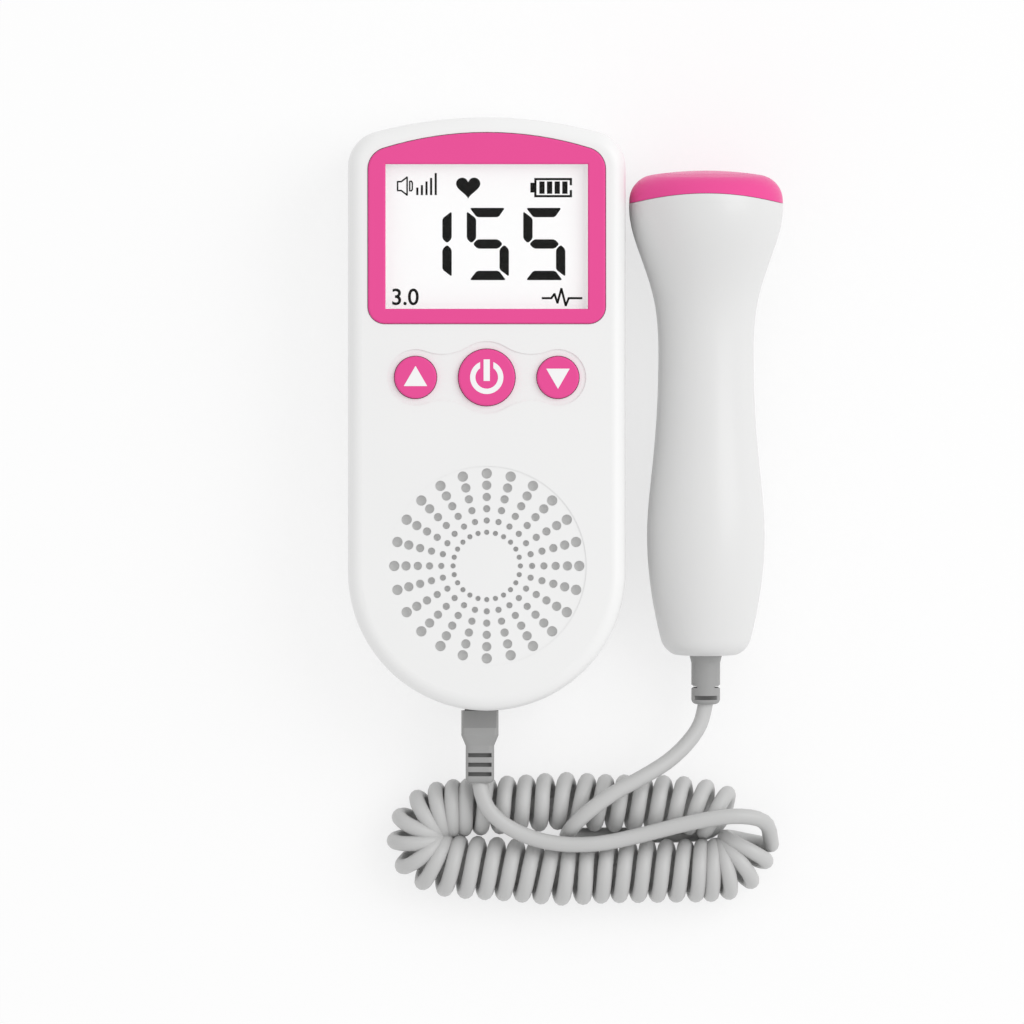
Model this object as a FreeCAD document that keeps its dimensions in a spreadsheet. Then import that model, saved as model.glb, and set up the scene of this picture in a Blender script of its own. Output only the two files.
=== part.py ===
import FreeCAD, Part
import math
import os
import re
import Sketcher

# Handheld heart monitor: a two-shell case with display, three buttons, loudspeaker and two cells, and a
# separate ultrasound probe on a curly lead. Millimetres. X to the right, Y towards the top of the case,
# Z up out of its face. The case lies on its back, and the origin is the middle of that back.

vector = FreeCAD.Vector
doc = FreeCAD.newDocument("heart_monitor")

SIZES = {
    # case
    "side_gap": 4.65,
    "bezel_drop": 3.6,
    "panel_gap": 4.03,
    "grille_gap": 9.87,
    "end_gap": 8.2,
    "arch_radius": 100.0,
    "shoulder_radius": 8.4,
    "wall": 2.0,
    "back_wall": 2.4,
    "parting_height": 15.2,
    "front_round": 3.3,
    "back_round": 4.6,
    "lip_height": 1.5,
    "lip_thickness": 0.9,
    "slip": 0.15,
    "thread_fit": 0.05,
    # display
    "bezel_beside": 4.05,
    "bezel_above": 7.28,
    "bezel_below": 3.42,
    "bezel_arch_radius": 80.0,
    "bezel_shoulder_radius": 5.0,
    "bezel_foot_radius": 3.9,
    "bezel_seat": 1.2,
    "bezel_stand": 0.4,
    "bezel_round": 0.5,
    "window_width": 46.6,
    "window_length": 33.3,
    "lens_margin": 1.0,
    "lens_thickness": 0.9,
    "aperture_margin": 0.3,
    "lcd_margin": 1.0,
    "lcd_thickness": 1.8,
    "backlight_margin": 0.2,
    "backlight_thickness": 1.8,
    "frame_wall": 1.0,
    "frame_floor": 1.0,
    "frame_gap": 2.25,
    "pin_radius": 0.25,
    "pin_pitch": 2.54,
    "pin_count": 12,
    "pin_inset": 0.5,
    # circuit board
    "board_clearance": 0.8,
    "board_thickness": 1.6,
    "board_side_gap": 5.0,
    "board_edge": 0.3,
    "board_gap": 3.0,
    "board_notch": 0.6,
    "chip_height": 1.4,
    "chip_side": 9.0,
    "chip_x": 10.0,
    "chip_small": 6.0,
    # buttons
    "side_button_x": 16.4,
    "side_button_radius": 4.85,
    "power_button_radius": 6.53,
    "button_stand": 0.8,
    "button_gap": 0.15,
    "button_flange": 1.0,
    "button_flange_thickness": 1.2,
    "button_round": 0.5,
    "stem_radius": 1.6,
    "icon_depth": 0.4,
    "icon_proud": 0.05,
    "triangle_side": 5.4,
    "power_ring_radius": 3.84,
    "power_ring_bore": 2.6,
    "power_bar_width": 1.45,
    "power_bar_top": 4.15,
    "power_bar_foot": 0.83,
    "power_gap_width": 3.04,
    "panel_depth": 0.3,
    "side_lobe_radius": 6.5,
    "power_lobe_radius": 8.35,
    "panel_hollow_radius": 11.0,
    "switch_side": 6.0,
    "switch_height": 3.5,
    "switch_bore": 1.3,
    "switch_bore_depth": 1.7,
    "plunger_room": 0.7,
    "plunger_radius": 1.1,
    "plunger_length": 2.2,
    # loudspeaker
    "grille_margin": 1.0,
    "grille_disc_depth": 0.2,
    "grille_first_ring": 7.75,
    "grille_ring_step": 2.71,
    "grille_first_hole": 0.6,
    "grille_hole_step": 0.12,
    "grille_rings": 6,
    "grille_rays": 24,
    "cloth_margin": 0.1,
    "cloth_thickness": 0.3,
    "gasket_thickness": 0.8,
    "speaker_radius": 24.0,
    "speaker_rim_width": 2.3,
    "speaker_rim_thickness": 1.2,
    "basket_depth": 7.0,
    "basket_sheet": 0.9,
    "magnet_radius": 11.0,
    "magnet_depth": 6.0,
    "cone_sheet": 0.4,
    "voice_coil_radius": 5.5,
    "speaker_ring_wall": 1.2,
    "speaker_ring_height": 3.0,
    # cells and their door
    "cell_radius": 7.25,
    "cell_length": 50.5,
    "cell_pitch": 15.0,
    "cell_end": 5.0,
    "cell_nub_radius": 2.75,
    "cell_nub_length": 1.2,
    "spring_length": 3.4,
    "spring_radius": 3.2,
    "spring_wire": 0.45,
    "spring_turns": 3,
    "contact_thickness": 0.4,
    "contact_side": 10.0,
    "bay_wall": 1.2,
    "bay_gap": 0.3,
    "bay_height": 12.0,
    "door_gap": 0.3,
    "door_ledge": 2.0,
    "ledge_border": 1.5,
    "ledge_thickness": 1.3,
    "door_rib_count": 4,
    "door_rib_pitch": 2.0,
    "door_rib_width": 0.8,
    "door_rib_depth": 0.4,
    "door_rib_span": 16.0,
    "hinge_pin_radius": 0.6,
    "hinge_pin_length": 1.4,
    "latch_width": 12.0,
    "latch_depth": 1.0,
    "latch_height": 4.2,
    # screws
    "boss_radius": 3.0,
    "upper_boss_drop": 4.8,
    "boss_inset": 4.8,
    "screw_radius": 1.2,
    "screw_head_radius": 2.2,
    "screw_head_height": 1.5,
    "screw_bite": 7.0,
    "screw_floor": 2.0,
    "screw_slot": 0.6,
    "standoff_radius": 1.9,
    "standoff_x": 19.0,
    "standoff_inset": 4.0,
    "standoff_gap": 0.13,
    "board_screw_radius": 0.8,
    "board_screw_head": 1.6,
    "board_screw_cap": 0.7,
    "board_screw_bite": 4.0,
    # socket and plug
    "plug_x": -1.6,
    "socket_width": 11.0,
    "socket_depth": 9.0,
    "socket_length": 9.6,
    "socket_post": 5.0,
    "port_margin": 0.5,
    "tongue_width": 7.0,
    "tongue_thickness": 4.2,
    "tongue_length": 8.0,
    "tongue_gap": 0.25,
    "contact_width": 0.8,
    "contact_height": 0.25,
    "contact_pitch": 1.5,
    "contact_count": 4,
    "collar_width": 8.6,
    "collar_thickness": 7.6,
    "collar_length": 5.7,
    "collar_round": 1.0,
    "collar_gap": 0.1,
    "collar_taper": 2.4,
    "grip_inset": 0.5,
    "grip_length": 4.0,
    "grip_depth": 0.3,
    "boot_width": 6.6,
    "boot_thickness": 5.8,
    "boot_length": 8.7,
    "boot_round": 1.3,
    "boot_end_round": 1.3,
    "boot_groove_width": 0.95,
    "boot_groove_depth": 1.2,
    "boot_groove_pitch": 2.2,
    "boot_groove_start": 2.2,
    "boot_groove_span": 5.4,
    "boot_groove_count": 3,
    # lead
    "wire_radius": 1.8,
    "curl_radius": 6.6,
    # probe, measured from its front end along its axis
    "probe_x": 50.68,
    "probe_front": 56.3,
    "probe_wall": 1.8,
    "head_radius": 17.76,
    "shoulder_run": 7.4,
    "shoulder_inset": 0.81,
    "flare_run": 5.6,
    "flare_radius": 15.1,
    "throat_run": 10.1,
    "throat_radius": 12.0,
    "waist_run": 13.8,
    "waist_radius": 11.0,
    "rise_run": 22.2,
    "rise_radius": 12.15,
    "bulge_run": 17,
    "bulge_radius": 13.6,
    "taper_run": 16.2,
    "taper_radius": 12.35,
    "tail_run": 9.2,
    "tail_radius": 10.4,
    "end_run": 3.5,
    "tail_corner_run": 2.0,
    "tail_corner_radius": 9.4,
    "tail_end_radius": 7.4,
    "probe_lift": 0.1,
    "crown_radius": 80.0,
    "cap_corner_radius": 6.0,
    "cap_front_wall": 2.0,
    "seam_station": 4.6,
    "seam_bow_radius": 57.3,
    "seam_gap": 0.1,
    "spigot_length": 12.0,
    "spigot_wall": 1.1,
    "lens_radius": 9.5,
    "lens_flange_radius": 12.0,
    "lens_flange_thickness": 1.0,
    "crystal_radius": 8.8,
    "crystal_thickness": 1.2,
    "crystal_gap": 0.6,
    "backing_thickness": 3.0,
    "probe_board_gap": 0.5,
    "probe_board_length": 40.0,
    "probe_board_thickness": 1.2,
    "probe_boss_radius": 2.6,
    "front_boss_run": 3.0,
    "rear_boss_run": 7.0,
    "probe_screw_bite": 6.0,
    "wire_core_radius": 0.5,
    "wire_core_front_x": 4.6,
    "wire_core_rear_x": 3.6,
    "probe_boot_radius": 3.33,
    "probe_boot_flare": 3.85,
    "probe_boot_length": 11.6,
    "probe_boot_flare_length": 2.0,
    "probe_boot_flange": 5.2,
    "probe_boot_flange_thickness": 1.5,
    "probe_boot_notch_station": 7.5,
    "probe_boot_groove_station": 10.0,
    "probe_boot_groove_width": 0.95,
    "probe_boot_groove_depth": 1.45,
    "probe_boot_notch_radius": 0.45,
    "probe_boot_slit_width": 0.4,
    "probe_boot_slit_depth": 1.3,
    "probe_boot_round": 1.2,
    "clamp_radius": 4.6,
    "clamp_length": 4.0,
}

# The lead's route on the table, by hand: its points in order, in millimetres.
UNIT_TAIL_ROUTE = [
    (-1.6, -85.4, 15.2),
    (-1.2, -90.2, 15.9),
    (4.4, -96.4, 14.6),
    (13.6, -100.2, 14.2),
    (25.0, -100.6, 14.2),
    (36.0, -97.8, 14.0),
    (46.5, -94.9, 15.4),
    (57.0, -92.8, 16.1),
    (64.6, -93.9, 13.4),
    (65.5, -99.3, 7.3),
]
CURL_ROUTE = [
    (60.8, -98.4, 6.65),
    (59.7, -102.6, 6.65),
    (56.6, -105.7, 6.65),
    (52.4, -106.8, 6.65),
    (38.0, -107.0, 6.65),
    (20.0, -107.1, 6.65),
    (4.0, -106.9, 6.65),
    (-7.9, -106.8, 6.65),
    (-12.1, -105.7, 6.65),
    (-15.2, -102.6, 6.65),
    (-16.3, -98.4, 6.65),
    (-15.2, -94.2, 6.65),
    (-12.1, -91.1, 6.65),
    (-7.9, -90.0, 6.65),
    (4.0, -89.9, 6.65),
    (20.0, -89.75, 6.65),
    (36.0, -89.8, 6.65),
    (44.0, -90.1, 6.65),
    (50.5, -90.9, 6.65),
    (55.0, -93.0, 6.65),
]
PROBE_TAIL_ROUTE = [
    (55.0, -93.2, 1.9),
    (52.2, -97.0, 1.9),
    (46.0, -98.4, 1.9),
    (36.0, -98.5, 1.9),
    (25.4, -98.45, 1.9),
    (19.2, -98.45, 4.4),
    (18.2, -98.0, 11.2),
    (21.4, -93.4, 16.6),
    (28.8, -87.7, 17.2),
    (36.4, -83.8, 16.2),
    (43.6, -79.3, 14.0),
    (49.2, -72.9, 11.7),
    (50.5, -67.95, 11.3),
]
# Each bend takes this share of the shorter of its two runs, so a little straight cord is left between bends.
BEND_SHARE = 0.45

# Sizes that follow from the others: the contents, laid end to end with a gap beside each, make the case.
FITS = {
    "bezel_width": "window_width + 2 * bezel_beside",
    "bezel_length": "bezel_above + window_length + bezel_below",
    "case_width": "bezel_width + 2 * side_gap",
    "grille_span": "2 * (speaker_radius + speaker_ring_wall)",
    "panel_length": "panel_gap + 2 * power_lobe_radius",
    "case_length": "bezel_drop + bezel_length + panel_length + grille_gap + grille_span + end_gap",
    "board_height": "back_wall + bay_gap + 2 * cell_radius + board_clearance",
    "display_stack": "frame_floor + backlight_thickness + lcd_thickness + slip",
    "case_depth": "board_height + board_thickness + chip_height + frame_gap + display_stack + wall",
    "bezel_top": "case_length / 2 - bezel_drop",
    "bezel_bottom": "bezel_top - bezel_length",
    "window_y": "bezel_top - bezel_above - window_length / 2",
    "button_y": "bezel_bottom - panel_gap - power_lobe_radius",
    "speaker_y": "end_gap + grille_span / 2 - case_length / 2",
    "grille_disc_radius": "speaker_radius - grille_margin",
    "cloth_radius": "speaker_radius - cloth_margin",
    "lcd_frame_reach": "window_length / 2 + lcd_margin + slip + frame_wall",
    "standoff_upper_y": "window_y + lcd_frame_reach + standoff_gap + standoff_radius",
    "board_width": "case_width - 2 * board_side_gap",
    "board_top": "standoff_upper_y + board_edge",
    "board_bottom": "speaker_y + speaker_radius + board_gap",
    "standoff_lower_y": "board_bottom + standoff_inset",
    "upper_boss_y": "case_length / 2 - upper_boss_drop",
    "side_boss_reach": "case_width / 2 - boss_inset",
    "crown_reach": "crown_radius - cap_corner_radius",
    "cap_corner_centre": "head_radius - cap_corner_radius",
    "head_station": "crown_radius - sqrt(crown_reach^2 - cap_corner_centre^2)",
    "shoulder_width_radius": "head_radius - shoulder_inset",
    "shoulder_station": "head_station + shoulder_run",
    "flare_station": "shoulder_station + flare_run",
    "throat_station": "flare_station + throat_run",
    "waist_station": "throat_station + waist_run",
    "rise_station": "waist_station + rise_run",
    "bulge_station": "rise_station + bulge_run",
    "taper_station": "bulge_station + taper_run",
    "tail_station": "taper_station + tail_run",
    "tail_corner_station": "tail_station + tail_corner_run",
    "probe_length": "tail_station + end_run",
    "front_boss_station": "throat_station + front_boss_run",
    "rear_boss_station": "bulge_station + rear_boss_run",
    "probe_board_station": "(front_boss_station + rear_boss_station) / 2",
    "probe_board_width": "2 * (waist_radius - probe_wall - probe_board_gap)",
}

TOUCH = 1e-4

sheet = doc.addObject("Spreadsheet::Sheet", "Sizes")
for row, (alias, number) in enumerate(SIZES.items(), start=1):
    sheet.set(f"A{row}", alias)
    sheet.set(f"B{row}", str(number))
    sheet.setAlias(f"B{row}", alias)
doc.recompute()

pieces = []


def size(formula):
    """The value that a formula in the sheet's names has now."""
    return float(sheet.evalExpression(linked(formula)))


def linked(formula):
    """A formula with the sizes that follow written out, and each name pointing at its cell."""

    def spell(word):
        if word[0] in FITS:
            return f"({linked(FITS[word[0]])})"
        return f"Sizes.{word[0]}" if word[0] in SIZES else word[0]

    return re.sub(r"[a-z_]+", spell, formula)


def bind(thing, **formulas):
    for field, formula in formulas.items():
        thing.setExpression(field, linked(formula))
    return thing


def place(thing, x="0", y="0", z="0"):
    for axis, formula in (("x", x), ("y", y), ("z", z)):
        thing.setExpression(f"Placement.Base.{axis}", linked(formula))
    return thing


def name(thing, label):
    thing.Label = label
    pieces.append(thing)
    return thing


# ---- Primitives and booleans -------------------------------------------------------------------------------


def block(width, length, height, x, y, bottom):
    """A box centred on x, y and standing on its bottom."""
    box = bind(doc.addObject("Part::Box", "Block"), Length=width, Width=length, Height=height)
    return place(box, f"({x}) - ({width}) / 2", f"({y}) - ({length}) / 2", bottom)


def rod(radius, length, x, y, z, along="Z"):
    """A cylinder that starts at x, y, z and runs along one axis."""
    cylinder = bind(doc.addObject("Part::Cylinder", "Rod"), Radius=radius, Height=length)
    turns = {"X": (vector(0, 1, 0), 90), "Y": (vector(1, 0, 0), -90), "Z": (vector(0, 0, 1), 0)}
    cylinder.Placement = FreeCAD.Placement(vector(), FreeCAD.Rotation(*turns[along]))
    return place(cylinder, x, y, z)


def join(*solids):
    fused = doc.addObject("Part::MultiFuse", "Join")
    fused.Shapes = list(solids)
    fused.Refine = True
    return fused


def cut(base, *tools):
    difference = doc.addObject("Part::Cut", "Cut")
    difference.Base = base
    difference.Tool = tools[0] if len(tools) == 1 else join(*tools)
    return difference


def overlap(*solids):
    shared = doc.addObject("Part::MultiCommon", "Overlap")
    shared.Shapes = list(solids)
    return shared


def group(*solids):
    compound = doc.addObject("Part::Compound", "Group")
    compound.Links = list(solids)
    return compound


# ---- PartDesign bodies and sketches ------------------------------------------------------------------------


def body(label):
    return doc.addObject("PartDesign::Body", label)


def sketch(owner, plane="XY_Plane", height="0", y="0"):
    drawing = owner.newObject("Sketcher::SketchObject", "Sketch")
    face = [feature for feature in owner.Origin.OriginFeatures if feature.Role == plane][0]
    drawing.AttachmentSupport = [(face, "")]
    drawing.MapMode = "FlatFace"
    drawing.setExpression("AttachmentOffset.Base.z", linked(height))
    drawing.setExpression("AttachmentOffset.Base.y", linked(y))
    return drawing


def measure(drawing, label, formula, kind, *where):
    """Adds a dimension to a sketch and ties it to the sheet."""
    index = drawing.addConstraint(Sketcher.Constraint(kind, *where, size(formula)))
    drawing.renameConstraint(index, label)
    drawing.setExpression(f"Constraints.{label}", linked(formula))


def circle(drawing, label, radius, x, y):
    centre = vector(size(x), size(y), 0)
    index = drawing.addGeometry(Part.Circle(centre, vector(0, 0, 1), size(radius)), False)
    measure(drawing, f"{label}_radius", radius, "Radius", index)
    measure(drawing, f"{label}_across", x, "DistanceX", -1, 1, index, 3)
    measure(drawing, f"{label}_along", y, "DistanceY", -1, 1, index, 3)


def loop(drawing, edges):
    """Draws edges end to end round a closed profile; sizes come from the sheet through the edges' points."""
    first = drawing.GeometryCount
    for edge in edges:
        drawing.addGeometry(edge, False)
    count = drawing.GeometryCount - first
    for step in range(count):
        here, after = first + step, first + (step + 1) % count
        drawing.addConstraint(Sketcher.Constraint("Coincident", here, 2, after, 1))


def polygon(drawing, points):
    """A closed profile of straight edges through points, each a pair of formulas tied to the sheet."""
    corners = [vector(size(x), size(y), 0) for x, y in points]
    first = drawing.GeometryCount
    loop(drawing, [Part.LineSegment(a, b) for a, b in zip(corners, corners[1:] + corners[:1])])
    for step, (x, y) in enumerate(points):
        measure(drawing, f"corner_{first + step}_across", x, "DistanceX", -1, 1, first + step, 1)
        measure(drawing, f"corner_{first + step}_along", y, "DistanceY", -1, 1, first + step, 1)


def arched_outline(drawing, label, half, top, arch, shoulder, foot, foot_y):
    """A panel with an arched top, round shoulders, straight sides and a round or half-round foot.

    half, top, arch, shoulder and foot are formulas: half its width, the top of the arch, and the radii.
    foot_y is where the foot's arcs have their centres.
    """
    half_now, top_now, arch_now, shoulder_now, foot_now, foot_y_now = (
        size(formula) for formula in (half, top, arch, shoulder, foot, foot_y)
    )
    arch_y = top_now - arch_now
    shoulder_x = half_now - shoulder_now
    shoulder_y = arch_y + math.sqrt((arch_now - shoulder_now) ** 2 - shoulder_x**2)
    lean = math.atan2(shoulder_x, shoulder_y - arch_y)
    foot_x = half_now - foot_now
    up, right, down = math.pi / 2, 0.0, -math.pi / 2
    axis = vector(0, 0, 1)

    def arc(x, y, radius, start, end):
        return Part.ArcOfCircle(Part.Circle(vector(x, y, 0), axis, radius), start, end)

    straight_foot = foot_x > TOUCH
    edges = [
        arc(0, arch_y, arch_now, up - lean, up + lean),
        arc(-shoulder_x, shoulder_y, shoulder_now, up + lean, math.pi),
        Part.LineSegment(vector(-half_now, shoulder_y, 0), vector(-half_now, foot_y_now, 0)),
    ]
    if straight_foot:
        base_y = foot_y_now - foot_now
        edges += [
            arc(-foot_x, foot_y_now, foot_now, math.pi, math.pi - down),
            Part.LineSegment(vector(-foot_x, base_y, 0), vector(foot_x, base_y, 0)),
            arc(foot_x, foot_y_now, foot_now, down, right),
        ]
    else:
        edges += [arc(0, foot_y_now, foot_now, math.pi, 2 * math.pi)]
    edges += [
        Part.LineSegment(vector(half_now, foot_y_now, 0), vector(half_now, shoulder_y, 0)),
        arc(shoulder_x, shoulder_y, shoulder_now, right, up - lean),
    ]
    first = drawing.GeometryCount
    for edge in edges:
        drawing.addGeometry(edge, False)
    last = drawing.GeometryCount - 1
    for here in range(first, last + 1):
        after = here + 1 if here < last else first
        drawing.addConstraint(Sketcher.Constraint("Tangent", here, 2, after, 1))
    measure(drawing, f"{label}_arch", arch, "Radius", first)
    measure(drawing, f"{label}_left_shoulder", shoulder, "Radius", first + 1)
    measure(drawing, f"{label}_right_shoulder", shoulder, "Radius", last)
    measure(drawing, f"{label}_foot", foot, "Radius", first + 3)
    drawing.addConstraint(Sketcher.Constraint("Vertical", first + 2))
    drawing.addConstraint(Sketcher.Constraint("Vertical", last - 1))
    drawing.addConstraint(Sketcher.Constraint("PointOnObject", first, 3, -2))
    measure(drawing, f"{label}_rise", f"({top}) - ({arch})", "DistanceY", -1, 1, first, 3)
    measure(drawing, f"{label}_side", f"-({half})", "DistanceX", -1, 1, first + 2, 1)
    measure(drawing, f"{label}_foot_height", foot_y, "DistanceY", -1, 1, first + 3, 3)
    if straight_foot:
        measure(drawing, f"{label}_right_foot", foot, "Radius", last - 2)
        measure(drawing, f"{label}_right_side", half, "DistanceX", -1, 1, last - 1, 1)
        drawing.addConstraint(Sketcher.Constraint("Horizontal", first + 4))


def case_outline(drawing, label, inset):
    """The case's outline seen from above, moved inwards by inset."""
    arched_outline(
        drawing,
        label,
        f"case_width / 2 - ({inset})",
        f"case_length / 2 - ({inset})",
        f"arch_radius - ({inset})",
        f"shoulder_radius - ({inset})",
        f"case_width / 2 - ({inset})",
        "(case_width - case_length) / 2",
    )


def lobed_outline(drawing):
    """The panel round the buttons: a round lobe for each, with a hollow curve between each pair."""
    side_x, side, middle, hollow = (
        size(formula)
        for formula in ("side_button_x", "side_lobe_radius", "power_lobe_radius", "panel_hollow_radius")
    )
    near, far = side + hollow, middle + hollow
    inwards = (side_x**2 + near**2 - far**2) / (2 * side_x)
    hollow_x, rise = side_x - inwards, math.sqrt(near**2 - inwards**2)
    side_turn, middle_turn = math.atan2(rise, -inwards), math.atan2(rise, hollow_x)
    half = math.pi
    centre_y = size("button_y")
    arcs = [
        (side_x, 0, side, -side_turn, side_turn),
        (hollow_x, rise, hollow, middle_turn - half, side_turn - half),
        (0, 0, middle, middle_turn, half - middle_turn),
        (-hollow_x, rise, hollow, -side_turn, -middle_turn),
        (-side_x, 0, side, half - side_turn, half + side_turn),
        (-hollow_x, -rise, hollow, middle_turn, side_turn),
        (0, 0, middle, half + middle_turn, 2 * half - middle_turn),
        (hollow_x, -rise, hollow, half - side_turn, half - middle_turn),
    ]
    for x, y, radius, start, end in arcs:
        ring = Part.Circle(vector(x, centre_y + y, 0), vector(0, 0, 1), radius)
        drawing.addGeometry(Part.ArcOfCircle(ring, start, end), False)
    for here in range(len(arcs)):
        corner = 2 - here % 2
        drawing.addConstraint(Sketcher.Constraint("Tangent", here, corner, (here + 1) % len(arcs), corner))
    lobes = {0: "side_button_x", 2: "0", 4: "-side_button_x", 6: "0"}
    for here, x in lobes.items():
        radius = "power_lobe_radius" if x == "0" else "side_lobe_radius"
        measure(drawing, f"lobe_{here}_radius", radius, "Radius", here)
        measure(drawing, f"lobe_{here}_across", x, "DistanceX", -1, 1, here, 3)
        measure(drawing, f"lobe_{here}_along", "button_y", "DistanceY", -1, 1, here, 3)
        measure(drawing, f"hollow_{here}_radius", "panel_hollow_radius", "Radius", here + 1)


def rectangle(drawing, width, length, x, y):
    left, right = f"({x}) - ({width}) / 2", f"({x}) + ({width}) / 2"
    bottom, top = f"({y}) - ({length}) / 2", f"({y}) + ({length}) / 2"
    polygon(drawing, [(left, bottom), (right, bottom), (right, top), (left, top)])


def pad(owner, drawing, length):
    feature = owner.newObject("PartDesign::Pad", "Pad")
    feature.Profile = drawing
    return bind(feature, Length=length)


def pocket(owner, drawing, length, upwards=False):
    """A pocket that is cut down from its sketch, or upwards; it has to take something away."""
    doc.recompute()
    before = owner.Shape.Volume
    feature = owner.newObject("PartDesign::Pocket", "Pocket")
    feature.Profile = drawing
    feature.Reversed = upwards
    bind(feature, Length=length)
    doc.recompute()
    assert owner.Shape.Volume < before, f"a pocket in {owner.Label} cuts nothing"
    return feature


def round_edges(owner, radius, wanted):
    """Rounds the edges of a body for which wanted(edge) is true."""
    doc.recompute()
    chosen = [f"Edge{index}" for index, edge in enumerate(owner.Shape.Edges, start=1) if wanted(edge)]
    assert chosen, f"no edge of {owner.Label} to round"
    base = owner.Tip
    feature = owner.newObject("PartDesign::Fillet", "Fillet")
    feature.Base = (base, chosen)
    bind(feature, Radius=radius)
    doc.recompute()
    return feature


def level(formula, reach=0.0):
    """Picks edges that lie flat at a height, and that reach out at least so far from the middle line."""
    height = size(formula)

    def wanted(edge):
        box = edge.BoundBox
        flat = abs(box.ZMin - height) < TOUCH and abs(box.ZMax - height) < TOUCH
        return flat and max(abs(box.XMin), abs(box.XMax)) >= reach

    return wanted


def revolve(owner, drawing, angle=360, reverse=False):
    feature = owner.newObject("PartDesign::Revolution", "Revolution")
    feature.Profile = drawing
    feature.ReferenceAxis = (drawing, ["V_Axis"])
    feature.Angle = angle
    feature.Reversed = reverse
    return feature


# ---- Places that several pieces share ----------------------------------------------------------------------

FACE_INSIDE = "case_depth - wall"
BEZEL_FLOOR = "case_depth - bezel_seat"
BOARD_FACE = "board_height + board_thickness"
LCD_TOP = f"{FACE_INSIDE} - slip"
LCD_BOTTOM = f"({LCD_TOP}) - lcd_thickness"
BACKLIGHT_BOTTOM = f"({LCD_BOTTOM}) - backlight_thickness"
LCD_WIDTH = "window_width + 2 * lcd_margin"
LCD_LENGTH = "window_length + 2 * lcd_margin"
BUTTON_TOP = "case_depth + button_stand"
MARK_BOTTOM = f"{BUTTON_TOP} - icon_depth"
FLANGE_BOTTOM = f"{FACE_INSIDE} - button_gap - button_flange_thickness"
SWITCH_TOP = f"{BOARD_FACE} + switch_height"
PLUNGER_TOP = f"{SWITCH_TOP} - switch_bore_depth + plunger_room + plunger_length"
CELL_HEIGHT = "back_wall + bay_gap + cell_radius"
BAY_WIDTH = "cell_pitch + 2 * (cell_radius + bay_gap)"
BAY_BOTTOM = "cell_end - spring_length - contact_thickness"
BAY_TOP = "cell_end + cell_length + cell_nub_length + contact_thickness"
BAY_LENGTH = f"({BAY_TOP}) - ({BAY_BOTTOM})"
BAY_Y = f"(({BAY_TOP}) + ({BAY_BOTTOM})) / 2"
DOOR_WIDTH = f"{BAY_WIDTH} + 2 * door_ledge"
DOOR_LENGTH = f"{BAY_LENGTH} + 2 * door_ledge"
HINGE_Y = f"{BAY_BOTTOM} - door_ledge + back_wall / 2"
HINGE_Z = "back_wall / 2"
DOOR_END = f"{BAY_TOP} + door_ledge"
FOOT_CENTRE = "(case_width - case_length) / 2"
INNER_FOOT = "case_width / 2 - wall"
SOCKET_END = f"{FOOT_CENTRE} - sqrt(({INNER_FOOT})^2 - (socket_width / 2 + abs(plug_x))^2) + slip"
COLLAR_FACE = "case_length / 2 + collar_gap"
SPEAKER_RIM_TOP = f"{FACE_INSIDE} - cloth_thickness - gasket_thickness"
CASE_SCREWS = [
    ("0", "upper_boss_y"),
    ("-side_boss_reach", "button_y"),
    ("side_boss_reach", "button_y"),
    ("-side_boss_reach * cos(45)", f"{FOOT_CENTRE} - side_boss_reach * sin(45)"),
    ("side_boss_reach * cos(45)", f"{FOOT_CENTRE} - side_boss_reach * sin(45)"),
]
BOARD_SCREWS = [
    (x, y) for y in ("standoff_lower_y", "standoff_upper_y") for x in ("-standoff_x", "standoff_x")
]
BUTTONS = {
    "volume_up": ("-side_button_x", "side_button_radius"),
    "power": ("0", "power_button_radius"),
    "volume_down": ("side_button_x", "side_button_radius"),
}


# ---- Case: front shell -------------------------------------------------------------------------------------
# A moulded white tray, open downwards, with the display's seat, button holes, grille and screw posts.

front = body("front_tray")
outline = sketch(front, height="parting_height")
case_outline(outline, "outside", "0")
pad(front, outline, "case_depth - parting_height")
round_edges(front, "front_round", level("case_depth"))

hollow = sketch(front, height="parting_height")
case_outline(hollow, "inside", "wall")
pocket(front, hollow, "case_depth - wall - parting_height", upwards=True)

posts = sketch(front, height="parting_height")
for number, (x, y) in enumerate(CASE_SCREWS):
    circle(posts, f"post_{number}", "boss_radius", x, y)
pad(front, posts, "case_depth - wall / 2 - parting_height")

standoffs = sketch(front, height=BOARD_FACE)
for number, (x, y) in enumerate(BOARD_SCREWS):
    circle(standoffs, f"standoff_{number}", "standoff_radius", x, y)
pad(front, standoffs, f"case_depth - wall / 2 - ({BOARD_FACE})")

locator = sketch(front, height=f"{FACE_INSIDE} - speaker_ring_height")
circle(locator, "ring", "speaker_radius + slip + speaker_ring_wall", "0", "speaker_y")
circle(locator, "bore", "speaker_radius + slip", "0", "speaker_y")
pad(front, locator, "speaker_ring_height + wall / 2")

rebate = sketch(front, height="parting_height")
case_outline(rebate, "rebate", "wall - lip_thickness - slip")
pocket(front, rebate, "lip_height + slip", upwards=True)

seat = sketch(front, height="case_depth")
arched_outline(
    seat,
    "seat",
    "bezel_width / 2 + slip",
    "bezel_top + slip",
    "bezel_arch_radius + slip",
    "bezel_shoulder_radius + slip",
    "bezel_foot_radius + slip",
    "bezel_bottom + bezel_foot_radius",
)
pocket(front, seat, "bezel_seat")

aperture = sketch(front, height=BEZEL_FLOOR)
aperture_sides = [f"window_{side} + 2 * aperture_margin" for side in ("width", "length")]
rectangle(aperture, *aperture_sides, "0", "window_y")
pocket(front, aperture, "wall")

panel = sketch(front, height="case_depth")
lobed_outline(panel)
pocket(front, panel, "panel_depth")

button_holes = sketch(front, height="case_depth")
for key, (x, radius) in BUTTONS.items():
    circle(button_holes, key, f"{radius} + button_gap", x, "button_y")
pocket(front, button_holes, "2 * wall")

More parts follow.
